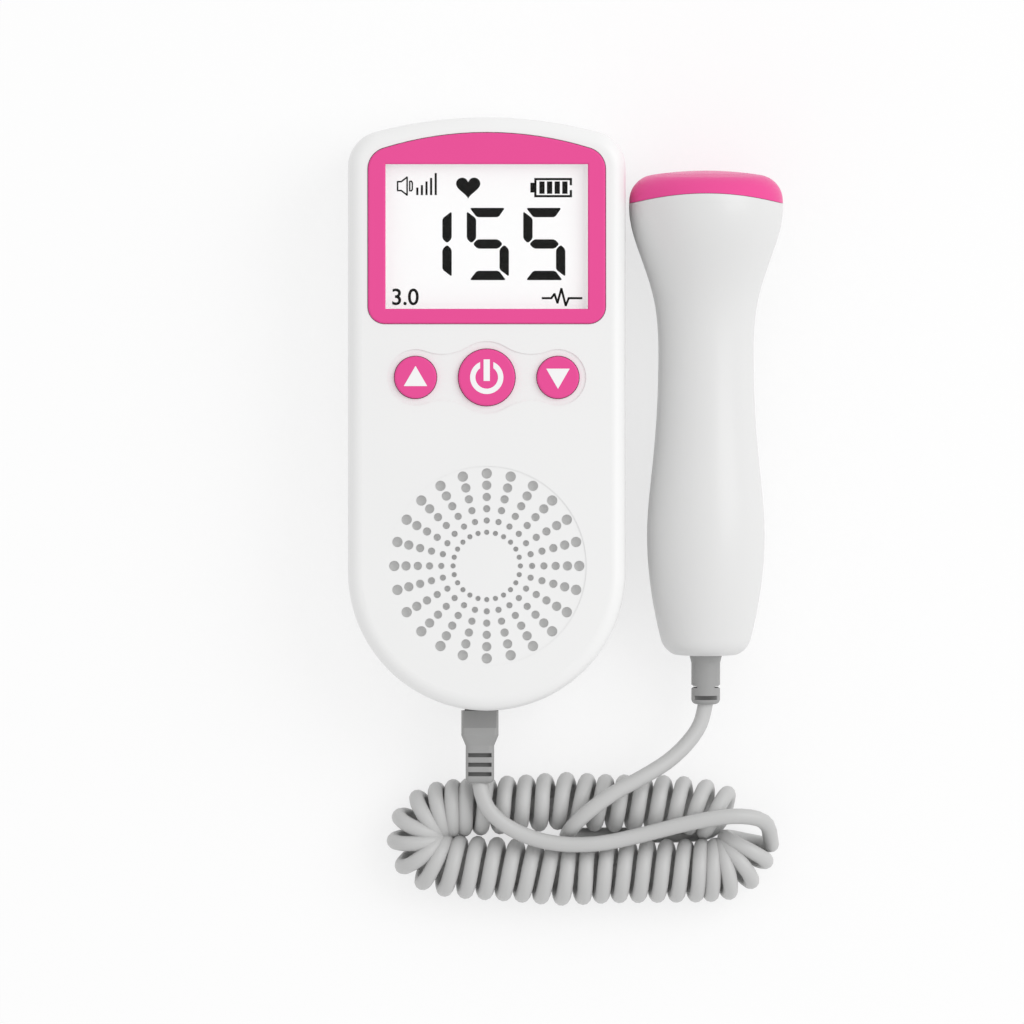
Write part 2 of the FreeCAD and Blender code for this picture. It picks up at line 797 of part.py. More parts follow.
disc = sketch(front, height="case_depth")
circle(disc, "disc", "grille_disc_radius", "0", "speaker_y")
pocket(front, disc, "grille_disc_depth")

grille_ray = sketch(front, height="case_depth", y="speaker_y")
for ring in range(int(size("grille_rings"))):
    hole = f"grille_first_hole + {ring} * grille_hole_step"
    circle(grille_ray, f"hole_{ring}", hole, "0", f"grille_first_ring + {ring} * grille_ring_step")
grille_row = pocket(front, grille_ray, "2 * wall")
grille = front.newObject("PartDesign::PolarPattern", "Grille")
grille.Originals = [grille_row]
grille.Axis = (grille_ray, ["N_Axis"])
grille.Angle = 360
bind(grille, Occurrences="grille_rays")
front.Tip = grille
doc.recompute()

pilot_holes = sketch(front, height="parting_height")
for number, (x, y) in enumerate(CASE_SCREWS):
    circle(pilot_holes, f"pilot_{number}", "screw_radius + thread_fit", x, y)
pocket(front, pilot_holes, "screw_bite + slip", upwards=True)

board_pilots = sketch(front, height=BOARD_FACE)
for number, (x, y) in enumerate(BOARD_SCREWS):
    circle(board_pilots, f"pilot_{number}", "board_screw_radius + thread_fit", x, y)
pocket(front, board_pilots, "board_screw_bite + slip", upwards=True)

port = block(
    "tongue_width + 2 * port_margin",
    "2 * wall + case_length / 20",
    "tongue_thickness + 2 * port_margin",
    "plug_x",
    "-case_length / 2",
    "parting_height - tongue_thickness / 2 - port_margin",
)
socket_hold = block(
    "socket_post",
    "socket_post",
    f"{FACE_INSIDE} + wall / 2 - parting_height - socket_depth / 2",
    "plug_x",
    f"{SOCKET_END} + socket_post / 2",
    "parting_height + socket_depth / 2",
)
name(cut(join(front, socket_hold), port), "front_shell")


# ---- Case: back shell --------------------------------------------------------------------------------------
# The other half, with the lip that locates the front shell, the cell bay, the door's ledge and screw wells.

back = body("back_tray")
outline = sketch(back)
case_outline(outline, "outside", "0")
pad(back, outline, "parting_height")
round_edges(back, "back_round", level("0"))

hollow = sketch(back, height="parting_height")
case_outline(hollow, "inside", "wall")
pocket(back, hollow, "parting_height - back_wall")
round_edges(back, "back_round - wall", level("back_wall"))

lip = sketch(back, height="parting_height - wall")
case_outline(lip, "lip_outside", "wall - lip_thickness")
case_outline(lip, "lip_inside", "wall")
pad(back, lip, "lip_height + wall")

wells = sketch(back, height="back_wall / 2")
for number, (x, y) in enumerate(CASE_SCREWS):
    circle(wells, f"well_{number}", "boss_radius", x, y)
pad(back, wells, "parting_height - back_wall / 2")

bay = sketch(back, height="back_wall / 2")
rectangle(bay, f"{BAY_WIDTH} + 2 * bay_wall", f"{BAY_LENGTH} + 2 * bay_wall", "0", BAY_Y)
pad(back, bay, "bay_height - back_wall / 2")

ledge = sketch(back, height="back_wall / 2")
border = "2 * (door_gap + ledge_border)"
rectangle(ledge, f"{DOOR_WIDTH} + {border}", f"{DOOR_LENGTH} + {border}", "0", BAY_Y)
pad(back, ledge, "back_wall / 2 + slip + ledge_thickness")

rest = sketch(back, height="back_wall / 2")
rectangle(rest, "socket_post", "socket_post", "plug_x", f"{SOCKET_END} + socket_post / 2")
pad(back, rest, "parting_height - socket_depth / 2 - back_wall / 2")

recess = sketch(back)
rectangle(recess, f"{DOOR_WIDTH} + 2 * door_gap", f"{DOOR_LENGTH} + 2 * door_gap", "0", BAY_Y)
pocket(back, recess, "back_wall + slip", upwards=True)

window = sketch(back)
rectangle(window, BAY_WIDTH, BAY_LENGTH, "0", BAY_Y)
pocket(back, window, "bay_height + wall", upwards=True)

heads = sketch(back)
for number, (x, y) in enumerate(CASE_SCREWS):
    circle(heads, f"head_{number}", "screw_head_radius + slip", x, y)
pocket(back, heads, "parting_height - screw_floor", upwards=True)

shanks = sketch(back)
for number, (x, y) in enumerate(CASE_SCREWS):
    circle(shanks, f"shank_{number}", "screw_radius + slip", x, y)
pocket(back, shanks, "parting_height + wall", upwards=True)

HINGE_REACH = f"({DOOR_WIDTH}) / 2 + hinge_pin_length + slip"
PIN_BORE = "hinge_pin_radius + slip"
hinge_bore = rod(PIN_BORE, f"2 * ({HINGE_REACH})", f"-({HINGE_REACH})", HINGE_Y, HINGE_Z, "X")
latch_notch = block(
    "latch_width + 4 * door_gap",
    "latch_depth + 4 * door_gap",
    "latch_height + back_wall",
    "0",
    f"{DOOR_END} - latch_depth / 2",
    "0",
)
name(cut(back, hinge_bore, latch_notch, port), "back_shell")


# ---- Door over the cells -----------------------------------------------------------------------------------
# It turns on two moulded pins at its lower end and snaps in with a tongue at its upper end.

door_plate = block(
    DOOR_WIDTH, f"{DOOR_END} - ({HINGE_Y})", "back_wall", "0", f"(({DOOR_END}) + ({HINGE_Y})) / 2", "0"
)
door_barrel = rod(HINGE_Z, DOOR_WIDTH, f"-({DOOR_WIDTH}) / 2", HINGE_Y, HINGE_Z, "X")
PIN_SPAN = f"{DOOR_WIDTH} + 2 * hinge_pin_length"
door_pins = rod("hinge_pin_radius", PIN_SPAN, f"-({PIN_SPAN}) / 2", HINGE_Y, HINGE_Z, "X")
door_latch = block(
    "latch_width", "latch_depth", "latch_height", "0", f"{DOOR_END} - latch_depth / 2", "back_wall / 2"
)
door_ribs = [
    block(
        "door_rib_span",
        "door_rib_width",
        "door_rib_depth",
        "0",
        f"{DOOR_END} - 2 * door_rib_pitch - {number} * door_rib_pitch",
        "0",
    )
    for number in range(int(size("door_rib_count")))
]
name(cut(join(door_plate, door_barrel, door_pins, door_latch), *door_ribs), "battery_door")


# ---- Cells, springs and contacts ---------------------------------------------------------------------------


def cell(x, foot, points_up):
    """One AA cell lying along Y, with its nub at the top or the bottom end."""
    can = rod("cell_radius", "cell_length", x, foot, CELL_HEIGHT, "Y")
    nub_foot = f"{foot} + cell_length" if points_up else f"{foot} - cell_nub_length"
    return join(can, rod("cell_nub_radius", "cell_nub_length", x, nub_foot, CELL_HEIGHT, "Y"))


RIGHT_FOOT = f"{BAY_BOTTOM} + contact_thickness + cell_nub_length"
name(cell("-cell_pitch / 2", "cell_end", True), "battery_left")
name(cell("cell_pitch / 2", RIGHT_FOOT, False), "battery_right")


def spring(x, foot):
    """A short wound spring whose axis lies along Y; its wire ends at the contact and at the cell."""
    helix = bind(
        doc.addObject("Part::Helix", "Helix"),
        Radius="spring_radius - spring_wire",
        Height="spring_length - 2 * spring_wire",
        Pitch="(spring_length - 2 * spring_wire) / spring_turns",
    )
    section = bind(doc.addObject("Part::Circle", "Wire"), Radius="spring_wire")
    section.Placement = FreeCAD.Placement(vector(), FreeCAD.Rotation(vector(1, 0, 0), 90))
    place(section, "spring_radius - spring_wire", "0", "0")
    wound = doc.addObject("Part::Sweep", "Spring")
    wound.Sections = [section]
    wound.Spine = (helix, [])
    wound.Solid = True
    wound.Frenet = True
    wound.Placement = FreeCAD.Placement(vector(), FreeCAD.Rotation(vector(1, 0, 0), -90))
    return place(wound, x, f"{foot} + spring_wire", CELL_HEIGHT)


RIGHT_SPRING = f"{RIGHT_FOOT} + cell_length"
springs = group(
    spring("-cell_pitch / 2", f"{BAY_BOTTOM} + contact_thickness"), spring("cell_pitch / 2", RIGHT_SPRING)
)
name(springs, "battery_springs")

CONTACT_BOTTOM = f"{CELL_HEIGHT} - contact_side / 2"
bridge = block(
    "cell_pitch + contact_side",
    "contact_thickness",
    "contact_side",
    "0",
    f"{BAY_BOTTOM} + contact_thickness / 2",
    CONTACT_BOTTOM,
)
TERMINAL_Y = f"{BAY_TOP} - contact_thickness / 2"
terminals = [
    block("contact_side", "contact_thickness", "contact_side", x, TERMINAL_Y, CONTACT_BOTTOM)
    for x in ("-cell_pitch / 2", "cell_pitch / 2")
]
name(group(bridge, *terminals), "battery_contacts")


# ---- Screws ------------------------------------------------------------------------------------------------


def screw(radius, head_radius, head_height, length, x, y, seat):
    """A pan-head screw pointing up, with its head just under the seat and a cross in it."""
    shank = rod(radius, length, x, y, seat)
    head = rod(head_radius, head_height, x, y, f"{seat} - ({head_height})")
    arms = [
        block(across, along, "screw_slot", x, y, f"{seat} - ({head_height})")
        for across, along in ((head_radius, "screw_slot"), ("screw_slot", head_radius))
    ]
    return cut(join(shank, head), *arms)


case_screws = [
    screw(
        "screw_radius",
        "screw_head_radius",
        "screw_head_height",
        "screw_floor + screw_bite",
        x,
        y,
        "parting_height - screw_floor",
    )
    for x, y in CASE_SCREWS
]
name(group(*case_screws), "case_screws")

board_screws = [
    screw(
        "board_screw_radius",
        "board_screw_head",
        "board_screw_cap",
        "board_thickness + board_screw_bite",
        x,
        y,
        "board_height",
    )
    for x, y in BOARD_SCREWS
]
name(group(*board_screws), "board_screws")


# ---- Display -----------------------------------------------------------------------------------------------

bezel = body("display_bezel")
plate = sketch(bezel, height=BEZEL_FLOOR)
arched_outline(
    plate,
    "plate",
    "bezel_width / 2",
    "bezel_top",
    "bezel_arch_radius",
    "bezel_shoulder_radius",
    "bezel_foot_radius",
    "bezel_bottom + bezel_foot_radius",
)
pad(bezel, plate, "bezel_seat + bezel_stand")
opening = sketch(bezel, height="case_depth + bezel_stand")
rectangle(opening, "window_width", "window_length", "0", "window_y")
pocket(bezel, opening, "bezel_seat + bezel_stand + wall")
lens_seat = sketch(bezel, height=BEZEL_FLOOR)
LENS_WIDTH = "window_width + 2 * lens_margin"
LENS_LENGTH = "window_length + 2 * lens_margin"
rectangle(lens_seat, f"{LENS_WIDTH} + 2 * slip", f"{LENS_LENGTH} + 2 * slip", "0", "window_y")
pocket(bezel, lens_seat, "lens_thickness", upwards=True)
round_edges(bezel, "bezel_round", level("case_depth + bezel_stand"))
name(bezel, "display_bezel")

name(block(LENS_WIDTH, LENS_LENGTH, "lens_thickness", "0", "window_y", BEZEL_FLOOR), "display_window")
name(block(LCD_WIDTH, LCD_LENGTH, "lcd_thickness", "0", "window_y", LCD_BOTTOM), "lcd_panel")
backlight = block(
    "window_width + 2 * backlight_margin",
    "window_length + 2 * backlight_margin",
    "backlight_thickness",
    "0",
    "window_y",
    BACKLIGHT_BOTTOM,
)
name(backlight, "lcd_backlight")

FRAME_BORE_WIDTH = f"{LCD_WIDTH} + 2 * slip"
FRAME_BORE_LENGTH = f"{LCD_LENGTH} + 2 * slip"
frame_block = block(
    f"{FRAME_BORE_WIDTH} + 2 * frame_wall",
    f"{FRAME_BORE_LENGTH} + 2 * frame_wall",
    f"{LCD_TOP} - ({BOARD_FACE})",
    "0",
    "window_y",
    BOARD_FACE,
)
frame_top = block(FRAME_BORE_WIDTH, FRAME_BORE_LENGTH, "case_depth", "0", "window_y", BACKLIGHT_BOTTOM)
frame_under = block(
    FRAME_BORE_WIDTH,
    FRAME_BORE_LENGTH,
    f"{BACKLIGHT_BOTTOM} - frame_floor - ({BOARD_FACE})",
    "0",
    "window_y",
    BOARD_FACE,
)
PIN_Y = f"window_y - ({LCD_LENGTH}) / 2 + pin_inset"
pin_slot = block(
    "(pin_count + 1) * pin_pitch", "2 * (pin_radius + slip)", "case_depth", "0", PIN_Y, BOARD_FACE
)
name(cut(frame_block, frame_top, frame_under, pin_slot), "lcd_frame")

pins = [
    rod(
        "pin_radius",
        f"{LCD_BOTTOM} - ({BOARD_FACE})",
        f"({number} - (pin_count - 1) / 2) * pin_pitch",
        PIN_Y,
        BOARD_FACE,
    )
    for number in range(int(size("pin_count")))
]
name(group(*pins), "display_pins")


# ---- Circuit board -----------------------------------------------------------------------------------------

board = block(
    "board_width",
    "board_top - board_bottom",
    "board_thickness",
    "0",
    "(board_top + board_bottom) / 2",
    "board_height",
)
board_notches = [
    rod("boss_radius + board_notch", "case_depth", x, y, "0") for x, y in CASE_SCREWS[:3]
]
board_holes = [
    rod("board_screw_radius + slip", "case_depth", x, y, "0") for x, y in BOARD_SCREWS
]
name(cut(board, *board_notches, *board_holes), "main_board")

chips = group(
    block("chip_side", "chip_side", "chip_height", "-chip_x", "window_y", BOARD_FACE),
    block("chip_small", "chip_small", "chip_height", "chip_x", "window_y", BOARD_FACE),
    block("chip_small", "chip_side", "chip_height", "0", "standoff_lower_y", BOARD_FACE),
)
name(chips, "board_chips")


# ---- Buttons and their switches ----------------------------------------------------------------------------

switches = []
for key, (x, radius) in BUTTONS.items():
    housing = block("switch_side", "switch_side", "switch_height", x, "button_y", BOARD_FACE)
    bore = rod("switch_bore", "case_depth", x, "button_y", f"{SWITCH_TOP} - switch_bore_depth")
    switches.append(cut(housing, bore))
name(group(*switches), "tact_switches")


def up_triangle(x, side, bottom, height, points_down=False):
    """An upright triangular prism centred on a button."""
    prism = bind(doc.addObject("Part::Prism", "Triangle"), Circumradius=f"({side}) / sqrt(3)", Height=height)
    prism.Polygon = 3
    turn = -90 if points_down else 90
    prism.Placement = FreeCAD.Placement(vector(), FreeCAD.Rotation(vector(0, 0, 1), turn))
    lean = "+" if points_down else "-"
    return place(prism, x, f"button_y {lean} ({side}) / 12", bottom)


def power_mark(x, bottom, height):
    """A ring open at the top with a bar through the opening."""
    ring = cut(
        rod("power_ring_radius", height, x, "button_y", bottom),
        rod("power_ring_bore", height, x, "button_y", bottom),
        block("power_gap_width", "power_ring_radius", height, x, "button_y + power_ring_radius", bottom),
    )
    bar_length = "power_bar_top + power_bar_foot"
    bar_y = "button_y + (power_bar_top - power_bar_foot) / 2"
    return ring, block("power_bar_width", bar_length, height, x, bar_y, bottom)


for key, (x, radius) in BUTTONS.items():
    knob = body(f"{key}_knob")
    face = sketch(knob, height=FLANGE_BOTTOM)
    circle(face, "face", radius, x, "button_y")
    pad(knob, face, f"{BUTTON_TOP} - ({FLANGE_BOTTOM})")
    flange = sketch(knob, height=FLANGE_BOTTOM)
    circle(flange, "flange", f"{radius} + button_flange", x, "button_y")
    pad(knob, flange, "button_flange_thickness")
    stem = sketch(knob, height=PLUNGER_TOP)
    circle(stem, "stem", "stem_radius", x, "button_y")
    pad(knob, stem, f"{FLANGE_BOTTOM} - ({PLUNGER_TOP}) + button_flange_thickness / 2")
    round_edges(knob, "button_round", level(BUTTON_TOP))

    marks = []
    for height in ("2 * icon_depth", "icon_depth + icon_proud"):
        if key == "power":
            marks.append(power_mark(x, MARK_BOTTOM, height))
        else:
            marks.append((up_triangle(x, "triangle_side", MARK_BOTTOM, height, key == "volume_down"),))
    name(cut(knob, *marks[0]), f"{key}_button")
    name(marks[1][0] if len(marks[1]) == 1 else group(*marks[1]), f"{key}_mark")

    plunger = rod("plunger_radius", "plunger_length", x, "button_y", f"{PLUNGER_TOP} - plunger_length")
    name(plunger, f"{key}_plunger")


# ---- Loudspeaker -------------------------------------------------------------------------------------------


def turned(label, points):
    """A part turned about the loudspeaker's axis, from its half section as pairs of radius and height."""
    owner = body(label)
    section = sketch(owner, "XZ_Plane")
    polygon(section, points)
    revolve(owner, section)
    place(owner, "0", "speaker_y", "0")
    return name(owner, label)


BASKET_BASE = f"{SPEAKER_RIM_TOP} - basket_depth"
RIM_BORE = "speaker_radius - speaker_rim_width"
turned(
    "speaker_basket",
    [
        ("speaker_radius", SPEAKER_RIM_TOP),
        ("speaker_radius", f"{SPEAKER_RIM_TOP} - speaker_rim_thickness"),
        (RIM_BORE, f"{SPEAKER_RIM_TOP} - speaker_rim_thickness"),
        ("magnet_radius + basket_sheet", BASKET_BASE),
        ("magnet_radius + basket_sheet", f"{BASKET_BASE} - basket_sheet"),
        ("voice_coil_radius + 2 * cone_sheet", f"{BASKET_BASE} - basket_sheet"),
        ("voice_coil_radius + 2 * cone_sheet", BASKET_BASE),
        ("magnet_radius", BASKET_BASE),
        (f"{RIM_BORE} - basket_sheet", f"{SPEAKER_RIM_TOP} - speaker_rim_thickness + slip"),
        (f"{RIM_BORE} - basket_sheet", SPEAKER_RIM_TOP),
    ],
)
CONE_EDGE = f"{RIM_BORE} - basket_sheet - slip"
COIL_TOP = f"{BASKET_BASE} + 3 * cone_sheet"
turned(
    "speaker_cone",
    [
        (CONE_EDGE, f"{SPEAKER_RIM_TOP} - cone_sheet"),
        (CONE_EDGE, f"{SPEAKER_RIM_TOP} - 2 * cone_sheet"),
        ("voice_coil_radius + cone_sheet", COIL_TOP),
        ("voice_coil_radius + cone_sheet", f"{BASKET_BASE} - basket_sheet / 2"),
        ("voice_coil_radius", f"{BASKET_BASE} - basket_sheet / 2"),
        ("voice_coil_radius", COIL_TOP),
        ("0", f"{COIL_TOP} + 4 * cone_sheet"),
        ("0", f"{COIL_TOP} + 5 * cone_sheet"),
        ("voice_coil_radius", f"{COIL_TOP} + cone_sheet"),
    ],
)
MAGNET_BOTTOM = f"{BASKET_BASE} - basket_sheet - magnet_depth"
magnet = rod("magnet_radius", "magnet_depth", "0", "speaker_y", MAGNET_BOTTOM)
name(magnet, "speaker_magnet")
gasket = cut(
    rod("speaker_radius", "gasket_thickness", "0", "speaker_y", SPEAKER_RIM_TOP),
    rod(f"{RIM_BORE} - basket_sheet", "gasket_thickness", "0", "speaker_y", SPEAKER_RIM_TOP),
)
name(gasket, "speaker_gasket")
cloth = rod("cloth_radius", "cloth_thickness", "0", "speaker_y", f"{FACE_INSIDE} - cloth_thickness")
name(cloth, "speaker_cloth")


# ---- Socket and plug ---------------------------------------------------------------------------------------

CAVITY_HALF = "tongue_thickness / 2 + tongue_gap"
CONTACT_X = [
    f"plug_x + ({number} - (contact_count - 1) / 2) * contact_pitch"
    for number in range(int(size("contact_count")))
]
socket_block = block(
    "socket_width",
    "socket_length",
    "socket_depth",
    "plug_x",
    f"{SOCKET_END} + socket_length / 2",
    "parting_height - socket_depth / 2",
)
CAVITY_END = f"-({COLLAR_FACE}) + tongue_length + tongue_gap"
cavity = block(
    "tongue_width + 2 * tongue_gap",
    f"{CAVITY_END} + case_length",
    f"2 * ({CAVITY_HALF})",
    "plug_x",
    f"({CAVITY_END} - case_length) / 2",
    f"parting_height - ({CAVITY_HALF})",
)


def strips(bottom, height, near, far):
    """A row of flat contacts lying along Y between near and far."""
    length, middle = f"{far} - ({near})", f"(({near}) + ({far})) / 2"
    return [block("contact_width", length, height, x, middle, bottom) for x in CONTACT_X]


SPRING_CONTACT = (
    f"parting_height + {CAVITY_HALF} - thread_fit",
    "contact_height",
    f"{SOCKET_END} + port_margin",
    CAVITY_END,
)
name(cut(socket_block, cavity, *strips(*SPRING_CONTACT)), "probe_socket")
name(group(*strips(*SPRING_CONTACT)), "socket_contacts")

TONGUE_TIP = f"-({COLLAR_FACE}) + tongue_length"
FLUSH_CONTACT = (
    "parting_height + tongue_thickness / 2 - contact_height / 2",
    "contact_height",
    f"-({COLLAR_FACE}) + wall",
    f"{TONGUE_TIP} - port_margin",
)
tongue = block(
    "tongue_width",
    "tongue_length",
    "tongue_thickness",
    "plug_x",
    f"-({COLLAR_FACE}) + tongue_length / 2",
    "parting_height - tongue_thickness / 2",
)
name(cut(tongue, *strips(*FLUSH_CONTACT)), "plug_tongue")
name(group(*strips(*FLUSH_CONTACT)), "plug_contacts")


def rounded_rectangle(drawing, label, width, height, x, y, radius):
    """A rectangle with round corners, every corner tied to the sheet."""
    across, along, corner = size(width) / 2, size(height) / 2, size(radius)
    inner_x, inner_y = f"(({width}) / 2 - ({radius}))", f"(({height}) / 2 - ({radius}))"
    centre = vector(size(x), size(y), 0)
    signs = [(1, -1), (1, 1), (-1, 1), (-1, -1)]
    edges = []
    for quarter, (right, up) in enumerate(signs):
        start = (quarter - 1) * math.pi / 2
        middle = centre + vector(right * (across - corner), up * (along - corner), 0)
        ring = Part.Circle(middle, vector(0, 0, 1), corner)
        edges.append(Part.ArcOfCircle(ring, start, start + math.pi / 2))
    first = drawing.GeometryCount
    for edge, after in zip(edges, edges[1:] + edges[:1]):
        drawing.addGeometry(edge, False)
        drawing.addGeometry(Part.LineSegment(edge.EndPoint, after.StartPoint), False)
    for step in range(8):
        drawing.addConstraint(Sketcher.Constraint("Tangent", first + step, 2, first + (step + 1) % 8, 1))
    for quarter, (right, up) in enumerate(signs):
        here = first + 2 * quarter
        corner_x, corner_y = f"{x} + {right} * {inner_x}", f"{y} + {up} * {inner_y}"
        measure(drawing, f"{label}_radius_{quarter}", radius, "Radius", here)
        measure(drawing, f"{label}_across_{quarter}", corner_x, "DistanceX", -1, 1, here, 3)
        measure(drawing, f"{label}_along_{quarter}", corner_y, "DistanceY", -1, 1, here, 3)


def plug_section(owner, label, width, height, radius, behind):
    """A cross-section of the plug, at a distance down from the middle of the case."""
    section = sketch(owner, "XZ_Plane", behind)
    rounded_rectangle(section, label, width, height, "plug_x", "parting_height", radius)
    return section


COLLAR_END = f"{COLLAR_FACE} + collar_length"
TAPER_END = f"{COLLAR_END} + collar_taper"
collar = body("collar_moulding")
face = plug_section(collar, "face", "collar_width", "collar_thickness", "collar_round", COLLAR_FACE)
pad(collar, face, "collar_length")
wide = plug_section(collar, "wide", "collar_width", "collar_thickness", "collar_round", COLLAR_END)
narrow = plug_section(collar, "narrow", "boot_width", "boot_thickness", "boot_round", TAPER_END)
taper = collar.newObject("PartDesign::AdditiveLoft", "Taper")
taper.Profile = wide
taper.Sections = [narrow]

GRIP_WIDTH = "collar_width - 2 * grip_inset"
GRIP_Y = f"-({COLLAR_FACE}) - grip_length / 2"
GRIP_BOTTOMS = [
    "parting_height + collar_thickness / 2 - grip_depth",
    "parting_height - collar_thickness / 2",
]
grips = [block(GRIP_WIDTH, "grip_length", "grip_depth", "plug_x", GRIP_Y, bottom) for bottom in GRIP_BOTTOMS]
name(cut(collar, *grips), "plug_collar")
name(group(*grips), "plug_grips")

boot = body("boot_moulding")
section = plug_section(boot, "section", "boot_width", "boot_thickness", "boot_round", TAPER_END)
pad(boot, section, "boot_length")
doc.recompute()
BOOT_END = f"{TAPER_END} + boot_length"
boot_end = -size(BOOT_END)
round_edges(boot, "boot_end_round", lambda edge: abs(edge.BoundBox.YMax - boot_end) < TOUCH)
boot_grooves = [
    block(
        "boot_groove_span",
        "boot_groove_width",
        "boot_groove_depth",
        "plug_x",
        f"-({TAPER_END}) - boot_groove_start - {number} * boot_groove_pitch",
        bottom,
    )
    for number in range(int(size("boot_groove_count")))
    for bottom in (
        "parting_height + boot_thickness / 2 - boot_groove_depth",
        "parting_height - boot_thickness / 2",
    )
]
name(cut(boot, *boot_grooves), "plug_boot")


# ---- Probe -------------------------------------------------------------------------------------------------
# It is modelled with its front end at the origin and its axis running down -Y, then laid on the table so that
# its head and its bulge both touch.

TILT = "atan((head_radius - bulge_radius) / (bulge_station - head_station))"
REST_HEIGHT = f"head_radius * cos({TILT}) + head_station * sin({TILT}) + probe_lift"


def lay(thing):
    """Lays a finished probe piece down in its resting place."""
    thing.Placement = FreeCAD.Placement(vector(), FreeCAD.Rotation(vector(1, 0, 0), 1))
    place(thing, "probe_x", "probe_front", REST_HEIGHT)
    thing.setExpression("Placement.Rotation.Angle", linked(TILT))
    return thing


def at(radius, station):
    return vector(size(radius), -size(station), 0)


SIDE = ["head", "shoulder", "flare", "throat", "waist", "rise", "bulge", "taper", "tail"]


def side_curve(inset):
    """The smooth side of the probe, from tail to head, moved inwards by inset."""
    radius_names = {key: f"{key}_radius" for key in SIDE}
    radius_names["shoulder"] = "shoulder_width_radius"
    points = [at(f"{radius_names[key]} - ({inset})", f"{key}_station") for key in reversed(SIDE)]
    curve = Part.BSplineCurve()
    curve.interpolate(Points=points)
    return curve


form = body("probe_form")
profile = sketch(form)
CROWN_LEAN = "asin(cap_corner_centre / crown_reach)"
CORNER_LEAN = f"(({CROWN_LEAN}) + 90 deg) / 2"
crown_edge = at(f"crown_radius * sin({CROWN_LEAN})", f"crown_radius * (1 - cos({CROWN_LEAN}))")
crown_middle = at(f"crown_radius * sin({CROWN_LEAN} / 2)", f"crown_radius * (1 - cos({CROWN_LEAN} / 2))")
corner_middle = at(
    f"cap_corner_centre + cap_corner_radius * sin({CORNER_LEAN})",
    f"head_station - cap_corner_radius * cos({CORNER_LEAN})",
)
head = at("head_radius", "head_station")
tail = at("tail_radius", "tail_station")
end = at("tail_end_radius", "probe_length")
loop(
    profile,
    [
        Part.Arc(end, at("tail_corner_radius", "tail_corner_station"), tail),
        side_curve("0"),
        Part.Arc(head, corner_middle, crown_edge),
        Part.Arc(crown_edge, crown_middle, vector()),
        Part.LineSegment(vector(), at("0", "probe_length")),
        Part.LineSegment(at("0", "probe_length"), end),
    ],
)
revolve(form, profile)

core = body("probe_core")
profile = sketch(core)
corners = [at("head_radius - probe_wall", "0"), at("head_radius - probe_wall", "head_station")]
inner_tail = at("tail_radius - probe_wall", "tail_station")
inner_end = at("tail_end_radius", "probe_length - probe_wall")
loop(
    profile,
    [
        Part.LineSegment(at("0", "probe_length - probe_wall"), inner_end),
        Part.LineSegment(inner_end, inner_tail),
        side_curve("probe_wall"),
        Part.LineSegment(corners[1], corners[0]),
        Part.LineSegment(corners[0], vector()),
        Part.LineSegment(vector(), at("0", "probe_length - probe_wall")),
    ],
)
revolve(core, profile)

doc.recompute()


def behind_seam(gap):
    """Everything behind the bowed line where the cap meets the handle."""
    bow = f"(seam_bow_radius - ({gap}))"
    bow_y = "-(seam_station + seam_bow_radius)"
    drum = rod(bow, "4 * head_radius", "0", bow_y, "-2 * head_radius")
    width, below = "4 * head_radius", "-2 * head_radius"
    rear = block(width, "2 * probe_length", width, "0", f"{bow_y} - probe_length", below)
    return join(drum, rear)


PROBE_BOSSES = ["front_boss_station", "rear_boss_station"]
PROBE_SEAT = "-screw_floor"
stem_rods = [
    rod("probe_boss_radius", "4 * head_radius", "0", f"-({y})", "-2 * head_radius") for y in PROBE_BOSSES
]
stems = overlap(form, join(*stem_rods))
handle = overlap(join(cut(form, core), stems), behind_seam("seam_gap"))
BOOT_HOLE_END = "-(probe_length + probe_wall / 2)"
boot_hole = rod("probe_boot_flare + slip", "2 * probe_wall", "0", BOOT_HOLE_END, "0", "Y")
upper_half, lower_half = (
    block("4 * head_radius", "3 * probe_length", "2 * head_radius", "0", "-probe_length", bottom)
    for bottom in ("0", "-2 * head_radius")
)
pilots = [
    rod("screw_radius + thread_fit", "probe_screw_bite + slip", "0", f"-({y})", "0") for y in PROBE_BOSSES
]
clearances = [rod("screw_radius + slip", "screw_floor", "0", f"-({y})", PROBE_SEAT) for y in PROBE_BOSSES]
head_wells = [
    rod("screw_head_radius + slip", "2 * head_radius", "0", f"-({y})", f"{PROBE_SEAT} - 2 * head_radius")
    for y in PROBE_BOSSES
]
name(lay(cut(overlap(handle, upper_half), boot_hole, *pilots)), "probe_upper_shell")
name(lay(cut(overlap(handle, lower_half), boot_hole, *clearances, *head_wells)), "probe_lower_shell")

SPIGOT_RADIUS = "min(head_radius; shoulder_width_radius) - probe_wall - slip"
SPIGOT_BORE = f"{SPIGOT_RADIUS} - spigot_wall"
CRYSTAL_FACE = "cap_front_wall + lens_flange_thickness"
CRYSTAL_REAR = f"{CRYSTAL_FACE} + crystal_thickness"
BACKING_REAR = f"{CRYSTAL_REAR} + backing_thickness"
cap_bore = rod(SPIGOT_BORE, "spigot_length", "0", f"-({CRYSTAL_REAR}) - spigot_length", "0", "Y")
SEAT_END = "-cap_front_wall - spigot_length"
lens_seat = rod("lens_flange_radius + slip", "spigot_length", "0", SEAT_END, "0", "Y")
spigot = overlap(form, rod(SPIGOT_RADIUS, "spigot_length", "0", "-spigot_length", "0", "Y"))
lens_hole = rod("lens_radius + slip", "2 * cap_front_wall", "0", "-cap_front_wall - slip", "0", "Y")
cap = cut(join(cut(form, behind_seam("0")), spigot), cap_bore, lens_seat, lens_hole)
name(lay(cap), "probe_cap")

